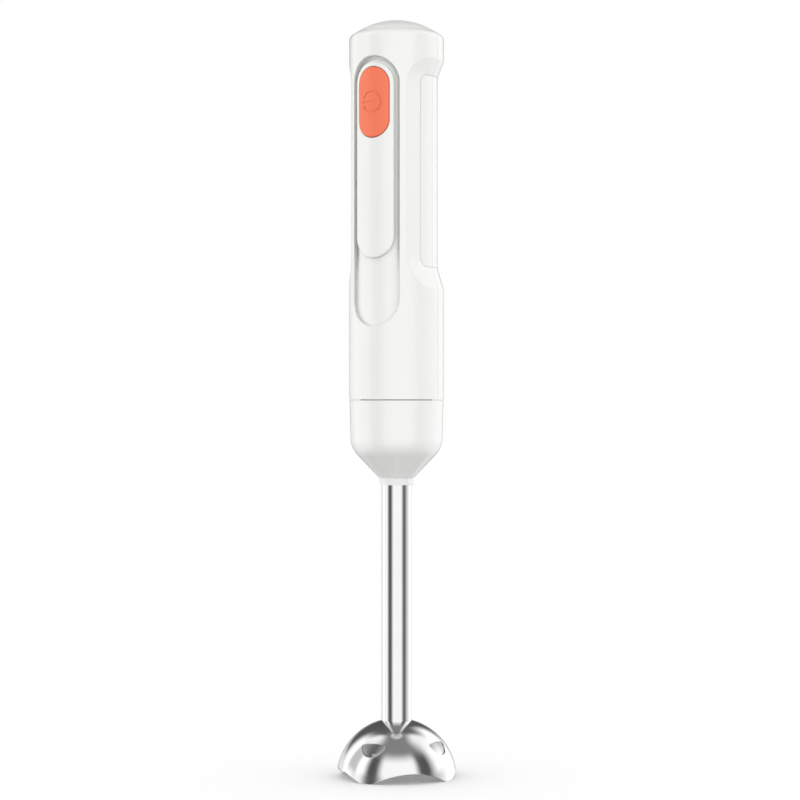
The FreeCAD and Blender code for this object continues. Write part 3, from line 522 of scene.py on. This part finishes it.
def moon_outline(core=0.8, steps=26):
    """The half-moon vent as a middle line and normals, for outlines at any distance."""
    low, corner, high = VENT_HEIGHTS
    r1 = (VENT_HALF ** 2 + (high - corner) ** 2) / (2 * (high - corner))
    r2 = (VENT_HALF ** 2 + (corner - low) ** 2) / (2 * (corner - low))
    c1, c2 = high - r1, low + r2
    a, b = r1 - core, r2 - core
    z = (a * a - b * b - c1 * c1 + c2 * c2) / (2 * (c2 - c1))
    x = math.sqrt(a * a - (z - c1) ** 2)
    top_angle = math.atan2(z - c1, x)
    low_angle = math.atan2(z - c2, x)
    middle, normal = [], []

    def sweep(centre, radius, start, end, count):
        for k in range(count):
            t = start + (end - start) * k / count
            n = (math.cos(t), math.sin(t))
            middle.append((radius * n[0], centre + radius * n[1]))
            normal.append(n)

    def fan(point, start, end, count=8):
        for k in range(count):
            t = start + (end - start) * k / count
            middle.append(point)
            normal.append((math.cos(t), math.sin(t)))

    sweep(c1, a, top_angle, math.pi - top_angle, steps)
    fan((-x, z), math.pi - top_angle, math.pi - low_angle)
    sweep(c2, b, math.pi - low_angle, 2 * math.pi + low_angle, steps)
    fan((x, z), low_angle, top_angle)
    return np.array(middle), np.array(normal), core


def bell():
    """The polished dome: two spherical skins joined round the rim, the vents and the tube's hole."""
    s = Surface()
    columns = 240
    azimuth = np.radians(-45 + 360 * np.arange(columns) / columns)
    off = (np.degrees(azimuth) + 45) % 90
    arch = np.where(off > 45, 90 - off, off)
    rim = rim_height(BELL_R * np.sin(np.radians(arch)))
    middle, normal, core = moon_outline()
    centre = np.array([0.0, 0.0, BELL_CENTRE_Z])
    skins = []
    for sign, radius, rounding in ((-1, BELL_R, BELL_ROUND[0]), (1, BELL_R - BELL_WALL, BELL_ROUND[1])):
        foot = radius * np.arcsin((rim - BELL_CENTRE_Z) / radius)
        peak = radius * math.acos(TUBE_R / radius)
        higher = list(spaced(rounding * ROUND[-1], (peak, 1.05)))[1:]
        rise = np.array([rounding * k for k in ROUND] + higher)
        height = rise[:, None] + foot[None] * (1 - rise[:, None] / peak)
        drop = round_drop(height - foot[None], rounding)
        level = radius + sign * drop
        elevation = height / radius
        flat = np.cos(elevation)
        way = np.stack([flat * np.sin(azimuth), -flat * np.cos(azimuth), np.sin(elevation)], axis=-1)
        grid = s.add(level[..., None] * way + centre)
        for k in np.ndindex(grid.shape):
            if drop[k] < 1e-6:
                s.normals[int(grid[k])] = -sign * way[k]
        vents, holes = [], []
        for quarter in range(4):
            turn = math.radians(90 * quarter)
            rings = []
            for k in ROUND:
                xz = middle + normal * (core + k * rounding) - (0, BELL_CENTRE_Z)
                away = radius + sign * round_drop(k * rounding, rounding)
                y = -np.sqrt(away ** 2 - xz[:, 0] ** 2 - xz[:, 1] ** 2)
                c, n = math.cos(turn), math.sin(turn)
                spots = np.stack([xz[:, 0] * c - y * n, xz[:, 0] * n + y * c, xz[:, 1]], axis=-1)
                exact = -sign * spots / away if k >= 1 else None
                rings.append(s.add(spots + centre, exact))
            uv = radius * np.stack([turn + np.arctan2(xz[:, 0], -y), np.arcsin(xz[:, 1] / away)], axis=-1)
            for a, b in zip(rings[:-1], rings[1:]):
                s.strip(a, b, closed=True)
            i0 = round(columns * (90 * quarter + 45 - VENT_BLOCK) / 360)
            i1 = round(columns * (90 * quarter + 45 + VENT_BLOCK) / 360)
            upright = height[:, (i0 + i1) // 2]
            j0 = nearest(upright, uv[:, 1].min() - VENT_MARGIN)
            j1 = nearest(upright, uv[:, 1].max() + VENT_MARGIN)
            vents.append(((i0, i1, j0, j1), rings[-1], uv))
            holes.append(rings[0])
        s.cells(grid, closed=True, skip=[block for block, ring, uv in vents])
        for block, ring, uv in vents:
            s.stitch(grid, block, lambda j, i: (radius * azimuth[i], height[j, i]), ring, uv,
                     VENT_CLEARANCE)
        skins.append((grid, holes))
    (outer, outer_holes), (inner, inner_holes) = skins
    s.strip(outer[0], inner[0], closed=True)
    s.strip(outer[-1], inner[-1], closed=True)
    for a, b in zip(outer_holes, inner_holes):
        s.strip(a, b, closed=True)
    obj = s.build("bell", sharp=50.0)
    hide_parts("bell_guard")
    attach(obj, "foot")
    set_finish(obj, "polished_bell")
    return obj


def lathe(name, outline, columns=128, sharp=30.0):
    """A full turn of a closed outline of (radius, height) corners about the axis."""
    s = Surface()
    angle = 2 * math.pi * np.arange(columns) / columns
    x, y = np.sin(angle), -np.cos(angle)
    rows = [s.add(np.stack([r * x, r * y, np.full(columns, z)], axis=-1)) for r, z in outline]
    s.rounds(rows, closed=True)
    return s.build(name, sharp)


def rounded(corners, radius=0.3, steps=4):
    """A closed outline with every corner rounded, and a point just past each rounding."""
    points = []
    for before, here, after in zip(corners[-1:] + corners[:-1], corners, corners[1:] + corners[:1]):
        a, p, b = Vector(before), Vector(here), Vector(after)
        to_a, to_b = (a - p).normalized(), (b - p).normalized()
        half = to_a.angle(to_b) / 2
        cut = min(radius / math.tan(half), (a - p).length * 0.45, (b - p).length * 0.45)
        r = cut * math.tan(half)
        centre = p + (to_a + to_b).normalized() * (r / math.sin(half))
        first, last = p + to_a * cut - centre, p + to_b * cut - centre
        points.append(tuple(p + to_a * min(cut * 1.8, (a - p).length * 0.49)))
        for k in range(steps + 1):
            t = k / steps
            points.append(tuple(centre + (first * (1 - t) + last * t).normalized() * r))
        points.append(tuple(p + to_b * min(cut * 1.8, (b - p).length * 0.49)))
    return points


def tube():
    inner = TUBE_R - TUBE_WALL
    low, high = 27.0, 176.0
    obj = lathe("tube", rounded([(inner, low), (TUBE_R, low), (TUBE_R, high), (inner, high)], 0.2))
    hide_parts("shaft_tube")
    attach(obj, "foot")
    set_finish(obj, "polished_tube")
    return obj


def spring():
    """The button's return spring in round wire, drawn at rest; the real one shortens towards the switch as
    the button goes in.
    """
    low, high = SPRING_Y
    turn = np.linspace(0, 2 * math.pi * SPRING_TURNS, round(36 * SPRING_TURNS) + 1)
    along = np.linspace(low + SPRING_WIRE_R, high - SPRING_WIRE_R, len(turn))
    radial = np.stack([np.cos(turn), 0 * turn, -np.sin(turn)], axis=-1)
    path = SPRING_R * radial + np.stack([0 * turn, along, 0 * turn + SPRING_Z], axis=-1)
    s = Surface()
    rows = []
    for k in range(10):
        t = 2 * math.pi * k / 10
        rows.append(s.add(path + SPRING_WIRE_R * (math.cos(t) * radial + np.array([0, math.sin(t), 0]))))
    s.rounds(rows)
    for end in (0, -1):
        s.faces.append(tuple(int(row[end]) for row in rows))
    obj = s.build("return_spring", sharp=60.0)
    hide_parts("button_spring")
    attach(obj, "handle")
    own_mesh(obj)
    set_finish(obj, "bright_steel")
    return obj


# ---------------------------------------------------------------- materials
def node_material(name):
    mat = bpy.data.materials.new(name)
    mat.use_nodes = True
    return mat, mat.node_tree, mat.node_tree.nodes["Principled BSDF"]


def noise(tree, scale, detail=2.0, stretch=None, rough=0.5):
    """A noise pattern in object space, features about 1 / scale metres, stretched where asked."""
    coords = tree.nodes.new("ShaderNodeTexCoord")
    tex = tree.nodes.new("ShaderNodeTexNoise")
    tex.inputs["Scale"].default_value = scale
    tex.inputs["Detail"].default_value = detail
    tex.inputs["Roughness"].default_value = rough
    if stretch:
        mapping = tree.nodes.new("ShaderNodeMapping")
        mapping.inputs["Scale"].default_value = stretch
        tree.links.new(coords.outputs["Object"], mapping.inputs["Vector"])
        tree.links.new(mapping.outputs["Vector"], tex.inputs["Vector"])
    else:
        tree.links.new(coords.outputs["Object"], tex.inputs["Vector"])
    return tex.outputs["Fac"]


def ranged(tree, source, low, high, start=0.3, end=0.7):
    """The source's values from start to end, carried over to low to high."""
    node = tree.nodes.new("ShaderNodeMapRange")
    node.inputs["From Min"].default_value = start
    node.inputs["From Max"].default_value = end
    node.inputs["To Min"].default_value = low
    node.inputs["To Max"].default_value = high
    tree.links.new(source, node.inputs["Value"])
    return node.outputs["Result"]


def blended(tree, source, a, b, start=0.3, end=0.7):
    """A colour between a and b by the source."""
    mix = tree.nodes.new("ShaderNodeMix")
    mix.data_type = "RGBA"
    tree.links.new(ranged(tree, source, 0.0, 1.0, start, end), mix.inputs["Factor"])
    # the node's colour sockets share their names with its others, so they go by number
    mix.inputs[6].default_value = (*a, 1.0)
    mix.inputs[7].default_value = (*b, 1.0)
    return mix.outputs[2]


def satin_above(mat, low, high):
    """Fades a material's clear coat away between two heights on the object."""
    tree = mat.node_tree
    bsdf = tree.nodes["Principled BSDF"]
    split = tree.nodes.new("ShaderNodeSeparateXYZ")
    tree.links.new(tree.nodes.new("ShaderNodeTexCoord").outputs["Object"], split.inputs[0])
    weight = bsdf.inputs["Coat Weight"]
    tree.links.new(ranged(tree, split.outputs["Z"], weight.default_value, 0.0, low, high), weight)
    return mat


def relief(tree, bsdf, source, strength, depth):
    """Bumps of the source's pattern, depth metres deep."""
    node = tree.nodes.new("ShaderNodeBump")
    node.inputs["Strength"].default_value = strength
    node.inputs["Distance"].default_value = depth
    tree.links.new(source, node.inputs["Height"])
    tree.links.new(node.outputs["Normal"], bsdf.inputs["Normal"])


def clouded(tree, colour, scale, detail, darker, lighter):
    """A colour that drifts a little darker and lighter over the surface."""
    ends = [tuple(min(1.0, c * factor) for c in colour) for factor in (1 - darker, 1 + lighter)]
    return blended(tree, noise(tree, scale, detail), *ends)


def moulded(name, colour, rough=0.34, grain=4200.0, depth=1e-5, spread=0.02, clear=0.0,
            uneven=0.045, **settings):
    """Moulded plastic: faint clouding, slightly uneven gloss and, where it has a depth, a fine grain."""
    mat, tree, bsdf = node_material(name)
    tree.links.new(clouded(tree, colour, 38.0, 3.0, spread, spread * 0.4), bsdf.inputs["Base Color"])
    gloss = ranged(tree, noise(tree, 220.0, 2.0), rough - uneven, rough + uneven)
    tree.links.new(gloss, bsdf.inputs["Roughness"])
    if depth:
        relief(tree, bsdf, noise(tree, grain, 3.0), 0.35, depth)
    bsdf.inputs["Coat Weight"].default_value = clear
    bsdf.inputs["Coat Roughness"].default_value = 0.14
    for key, value in settings.items():
        bsdf.inputs[key.replace("_", " ")].default_value = value
    return mat


def metal(name, colour, low=0.12, high=0.26, scale=600.0, stretch=None, depth=4e-6, spread=0.05):
    """Bare metal with drawn or turned lines where the pattern is stretched."""
    mat, tree, bsdf = node_material(name)
    lines = noise(tree, scale, 4.0, stretch, 0.6)
    bsdf.inputs["Metallic"].default_value = 1.0
    tree.links.new(clouded(tree, colour, 60.0, 2.0, spread, spread), bsdf.inputs["Base Color"])
    tree.links.new(ranged(tree, lines, low, high), bsdf.inputs["Roughness"])
    relief(tree, bsdf, lines, 0.3, depth)
    return mat


def banded(name, a, b, axis, spacing, metallic, rough, depth):
    """Fine parallel bands across one axis, as on a winding or a stack of plates."""
    mat, tree, bsdf = node_material(name)
    coords = tree.nodes.new("ShaderNodeTexCoord")
    wave = tree.nodes.new("ShaderNodeTexWave")
    wave.bands_direction = axis
    wave.inputs["Scale"].default_value = 1.0 / spacing / 20.0 * 2 * math.pi
    wave.inputs["Distortion"].default_value = 0.6
    wave.inputs["Detail Scale"].default_value = 300.0
    tree.links.new(coords.outputs["Object"], wave.inputs["Vector"])
    tree.links.new(blended(tree, wave.outputs["Fac"], a, b, 0.0, 1.0), bsdf.inputs["Base Color"])
    tree.links.new(ranged(tree, noise(tree, 500.0), rough - 0.06, rough + 0.08), bsdf.inputs["Roughness"])
    bsdf.inputs["Metallic"].default_value = metallic
    relief(tree, bsdf, wave.outputs["Fac"], 0.5, depth)
    return mat


def board(name):
    """Green solder mask over a grid of tracks."""
    mat, tree, bsdf = node_material(name)
    coords = tree.nodes.new("ShaderNodeTexCoord")
    cells = tree.nodes.new("ShaderNodeTexVoronoi")
    cells.distance = "CHEBYCHEV"
    cells.inputs["Scale"].default_value = 420.0
    tree.links.new(coords.outputs["Object"], cells.inputs["Vector"])
    green = blended(tree, cells.outputs["Distance"], (0.02, 0.13, 0.05), (0.035, 0.26, 0.11), 0.25, 0.5)
    tree.links.new(green, bsdf.inputs["Base Color"])
    tree.links.new(ranged(tree, noise(tree, 900.0), 0.25, 0.4), bsdf.inputs["Roughness"])
    relief(tree, bsdf, cells.outputs["Distance"], 0.4, 3e-5)
    return mat


WHITE = (0.715, 0.72, 0.70)
SMOOTH = {"depth": 0, "spread": 0.01, "uneven": 0.008}
LACQUER = {"rough": 0.28, "clear": 0.9, "Coat_IOR": 1.65}
# the heights in metres, on the handle's shoulder, between which its lacquer fades out
LACQUER_ENDS = (0.3895, 0.3918)


def make_materials():
    """One material for each slot."""
    shell = moulded("white_shell", WHITE, Specular_IOR_Level=0.12, **SMOOTH, **LACQUER)
    return {
        "white_shell": satin_above(shell, *LACQUER_ENDS),
        "white_cap": moulded("white_cap", WHITE, rough=0.4, **SMOOTH),
        "white_panel": moulded("white_panel", WHITE, rough=0.26, clear=0.7, **SMOOTH),
        "white_hub": moulded("white_hub", WHITE, Specular_IOR_Level=0.3, **SMOOTH, **LACQUER),
        "clear_collar": moulded("clear_collar", (0.92, 0.92, 0.92), rough=0.36, Subsurface_Weight=0.5,
                                Subsurface_Radius=(1.0, 1.0, 1.0), Subsurface_Scale=0.003),
        "coral_button": moulded("coral_button", (0.775, 0.163, 0.077), rough=0.3, depth=0, clear=0.2,
                                uneven=0.008, Specular_IOR_Level=0.3),
        "rubber_cover": moulded("rubber_cover", (0.70, 0.70, 0.67), rough=0.62, grain=3000.0, depth=4e-5),
        "polished_tube": metal("polished_tube", (0.87, 0.87, 0.87), 0.04, 0.075, 90.0, (9.0, 9.0, 0.4),
                               6e-7, 0.015),
        "polished_bell": metal("polished_bell", (0.85, 0.85, 0.85), 0.11, 0.16, 140.0, (1.0, 1.0, 5.0),
                               6e-7, 0.015),
        "blade_steel": metal("blade_steel", (0.62, 0.62, 0.63), 0.16, 0.34, 700.0, (0.25, 6.0, 1.0)),
        "bright_steel": metal("bright_steel", (0.66, 0.66, 0.67), 0.12, 0.24, 700.0, (1.0, 1.0, 8.0)),
        "zinc_steel": metal("zinc_steel", (0.57, 0.58, 0.60), 0.24, 0.42, 260.0, None, 8e-6, 0.1),
        "grey_nylon": moulded("grey_nylon", (0.50, 0.51, 0.52), rough=0.5, grain=2600.0, depth=4e-5,
                              spread=0.06),
        "bronze": metal("bronze", (0.62, 0.44, 0.25), 0.35, 0.55, 1800.0, None, 2e-5, 0.12),
        "black_plastic": moulded("black_plastic", (0.035, 0.035, 0.04), rough=0.45, grain=3000.0,
                                 spread=0.15),
        "white_plastic": moulded("white_plastic", (0.80, 0.80, 0.78), rough=0.45, grain=3600.0),
        "can_aluminium": metal("can_aluminium", (0.70, 0.71, 0.72), 0.25, 0.42, 500.0, (1.0, 1.0, 7.0)),
        "green_board": board("green_board"),
        "cell_wrap": moulded("cell_wrap", (0.075, 0.24, 0.50), rough=0.3, grain=500.0, depth=4e-5,
                             spread=0.08),
        "nickel": metal("nickel", (0.64, 0.62, 0.58), 0.2, 0.36, 800.0, (6.0, 0.5, 1.0)),
        "red_wire": moulded("red_wire", (0.50, 0.03, 0.02), rough=0.48, grain=2400.0, depth=3e-5,
                            spread=0.08),
        "ferrite": moulded("ferrite", (0.10, 0.10, 0.11), rough=0.6, grain=2600.0, depth=8e-5, spread=0.2),
        "carbon": moulded("carbon", (0.05, 0.05, 0.05), rough=0.55, grain=3200.0, depth=6e-5, spread=0.25),
        "copper": banded("copper", (0.42, 0.15, 0.06), (0.80, 0.36, 0.18), "Z", 0.0006, 1.0, 0.3, 1e-4),
        "lamination": banded("lamination", (0.20, 0.20, 0.21), (0.42, 0.42, 0.43), "Z", 0.0007, 1.0, 0.42,
                             5e-5),
        "black_rubber": moulded("black_rubber", (0.025, 0.025, 0.025), rough=0.7, grain=2000.0, depth=5e-5,
                                spread=0.2),
    }


def paint(materials, extra):
    """Each CAD node gets its slot's material, and so does each new piece."""
    for part in frame["record"]["subparts"]:
        obj = frame["nodes"][part["node"]]
        for place in obj.material_slots:
            place.material = materials[part["material_slot"]]
    for obj in extra:
        obj.data.materials.append(materials[obj["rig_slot"]])


# ---------------------------------------------------------------- studio
# a colour ramp holds levels up to 1, so they are divided by this and multiplied again after it
LEVEL_GAIN = 1.6
# The cards and strips that glossy surfaces see, as (turn, brightness). The turn is in degrees, and 0 is
# the side that the camera stands on. LEVEL_BAND is what stands level with the object and a little below
# it, LOW_BAND what stands a little above it, and HIGH_BAND what stands high up.
LEVEL_BAND = [
    (-180, 0.45), (-166, 0.5), (-156, 0.85), (-135, 0.9), (-124, 1.22), (-101, 1.22), (-95, 0.98),
    (-90, 0.98), (-84, 1.12), (-74, 1.0), (-64, 0.34), (-57, 0.12), (-46, 0.1), (-39, 0.24), (-31, 0.66),
    (-23, 1.06), (31, 1.06), (39, 0.93), (47, 0.46), (55, 0.15), (64, 0.12), (73, 0.31), (83, 0.57),
    (93, 0.76), (105, 0.98), (117, 1.25), (150, 1.2), (160, 0.9), (166, 0.5), (180, 0.45),
]
LOW_BAND = [
    (-180, 0.09), (-145, 0.1), (-130, 1.25), (-117, 1.3), (-112, 0.62), (-90, 0.62), (-84, 1.3),
    (-71, 1.25), (-58, 0.08), (-42, 0.09), (-28, 1.1), (38, 1.1), (50, 0.1), (70, 0.08), (82, 0.7),
    (92, 1.2), (150, 1.3), (162, 0.1), (180, 0.09),
]
HIGH_BAND = [
    (-180, 0.1), (-134, 0.12), (-118, 1.1), (-100, 1.0), (-60, 0.25), (60, 0.25), (96, 1.0), (122, 1.1),
    (140, 0.15), (180, 0.1),
]
CEILING = 0.24
# the heights in degrees between which one of them gives way to the next
LEVEL_TO_LOW = (3.0, 15.0)
LOW_TO_HIGH = (34.0, 58.0)
HIGH_TO_CEILING = (64.0, 80.0)
UNDER_TO_LEVEL = (-48.0, -28.0)
# underneath, glossy surfaces see this share of the band above it, and this much more
UNDERNEATH, UNDERNEATH_BASE = 0.28, 0.1
# what dull surfaces get: the light by height, and how much more of it comes from the two sides
HORIZON_LIGHT, TOP_LIGHT, BOTTOM_LIGHT = 2.04, 0.55, 0.03
SIDE_LIGHT = 0.26

FLOOR_REACH = 6.0
FLOOR_WHITE = (0.88, 0.88, 0.88)
FLOOR_GLOW = 0.08


class Wires:
    """Short names for building a node tree of sums."""

    def __init__(self, tree):
        self.tree = tree

    def math(self, operation, *values):
        node = self.tree.nodes.new("ShaderNodeMath")
        node.operation = operation
        for socket, value in zip(node.inputs, values):
            if isinstance(value, (int, float)):
                socket.default_value = value
            else:
                self.tree.links.new(value, socket)
        return node.outputs[0]

    def smooth(self, value, start, end, low=0.0, high=1.0):
        node = self.tree.nodes.new("ShaderNodeMapRange")
        node.interpolation_type = "SMOOTHSTEP"
        for name, number in (("From Min", start), ("From Max", end), ("To Min", low), ("To Max", high)):
            node.inputs[name].default_value = number
        self.tree.links.new(value, node.inputs["Value"])
        return node.outputs["Result"]

    def ramp(self, position, stops):
        """The brightness of a band at a position from 0 to 1 once round it."""
        node = self.tree.nodes.new("ShaderNodeValToRGB")
        elements = node.color_ramp.elements
        while len(elements) > 1:
            elements.remove(elements[-1])
        elements[0].position = 0.0
        for k, (degrees, level) in enumerate(stops):
            element = elements[0] if k == 0 else elements.new((degrees + 180) / 360)
            element.color = (level / LEVEL_GAIN,) * 3 + (1.0,)
        self.tree.links.new(position, node.inputs["Fac"])
        return self.math("MULTIPLY", node.outputs["Color"], LEVEL_GAIN)

    def mix(self, factor, a, b):
        """a where the factor is 0 and b where it is 1."""
        return self.math("ADD", a, self.math("MULTIPLY", factor, self.math("SUBTRACT", b, a)))


def make_world():
    """A white studio. The camera sees plain white, dull surfaces get soft light, and glossy ones see
    bright cards, dark strips and a grey ceiling."""
    world = bpy.data.worlds.new("studio")
    bpy.context.scene.world = world
    world.use_nodes = True
    tree = world.node_tree
    tree.nodes.clear()
    w = Wires(tree)
    coords = tree.nodes.new("ShaderNodeTexCoord")
    split = tree.nodes.new("ShaderNodeSeparateXYZ")
    tree.links.new(coords.outputs["Generated"], split.inputs[0])
    x, y, z = split.outputs
    turn = w.math("ARCTAN2", x, w.math("MULTIPLY", y, -1.0))
    turn = w.math("WRAP", w.math("SUBTRACT", turn, VIEW_AZIMUTH), math.pi, -math.pi)
    place = w.math("ADD", w.math("MULTIPLY", turn, 0.5 / math.pi), 0.5)
    rise = w.math("MULTIPLY", w.math("ARCSINE", z), 180 / math.pi)
    level = w.mix(w.smooth(rise, *LEVEL_TO_LOW), w.ramp(place, LEVEL_BAND), w.ramp(place, LOW_BAND))
    level = w.mix(w.smooth(rise, *LOW_TO_HIGH), level, w.ramp(place, HIGH_BAND))
    level = w.mix(w.smooth(rise, *HIGH_TO_CEILING), level, CEILING)
    under = w.math("ADD", w.math("MULTIPLY", level, UNDERNEATH), UNDERNEATH_BASE)
    level = w.mix(w.smooth(rise, *UNDER_TO_LEVEL), under, level)
    above = w.math("MULTIPLY", w.math("MAXIMUM", z, 0.0), TOP_LIGHT - HORIZON_LIGHT)
    below = w.math("MULTIPLY", w.math("MINIMUM", z, 0.0), HORIZON_LIGHT - BOTTOM_LIGHT)
    diffuse = w.math("ADD", w.math("ADD", above, below), HORIZON_LIGHT)
    across = w.math("POWER", w.math("SINE", turn), 2.0)
    diffuse = w.math("MULTIPLY", diffuse, w.math("ADD", w.math("MULTIPLY", across, SIDE_LIGHT), 1.0))
    path = tree.nodes.new("ShaderNodeLightPath")
    level = w.mix(path.outputs["Is Diffuse Ray"], level, diffuse)
    level = w.mix(path.outputs["Is Camera Ray"], level, 1.0)
    background = tree.nodes.new("ShaderNodeBackground")
    tree.links.new(level, background.inputs["Color"])
    out = tree.nodes.new("ShaderNodeOutputWorld")
    tree.links.new(background.outputs[0], out.inputs[0])


def make_floor():
    """A pale floor that catches the shadow under the bell. The object's surfaces don't see it."""
    mesh = bpy.data.meshes.new("floor")
    corners = [(x * FLOOR_REACH, y * FLOOR_REACH, 0) for x, y in ((-1, -1), (1, -1), (1, 1), (-1, 1))]
    mesh.from_pydata(corners, [], [(0, 1, 2, 3)])
    obj = bpy.data.objects.new("floor", mesh)
    bpy.context.scene.collection.objects.link(obj)
    mat = moulded("floor_paper", FLOOR_WHITE, rough=0.9, grain=900.0, spread=0.0,
                  Emission_Color=(1.0, 1.0, 1.0, 1.0), Emission_Strength=FLOOR_GLOW)
    mesh.materials.append(mat)
    obj.visible_diffuse = False
    obj.visible_glossy = False


def make_camera():
    """The camera looks level at the object. towards points from the object to the camera."""
    towards = Vector((math.sin(VIEW_AZIMUTH), -math.cos(VIEW_AZIMUTH), 0.0))
    right = Vector((math.cos(VIEW_AZIMUTH), math.sin(VIEW_AZIMUTH), 0.0))
    data = bpy.data.cameras.new("camera")
    data.lens = LENS
    data.sensor_width = SENSOR_WIDTH
    camera = bpy.data.objects.new("camera", data)
    bpy.context.scene.collection.objects.link(camera)
    camera.location = right * VIEW_SIDE + towards * VIEW_DISTANCE + Vector((0, 0, VIEW_HEIGHT))
    camera.rotation_mode = "QUATERNION"
    camera.rotation_quaternion = (-towards).to_track_quat("-Z", "Y")
    bpy.context.scene.camera = camera


# the grey crease bead among the new pieces is painted shade along the grip recess
new_pieces = [*make_housings(), crease_shade_bead(), bell(), tube(), spring()]
paint(make_materials(), new_pieces)
make_camera()
make_world()
make_floor()
bpy.context.scene.view_settings.view_transform = "Standard"
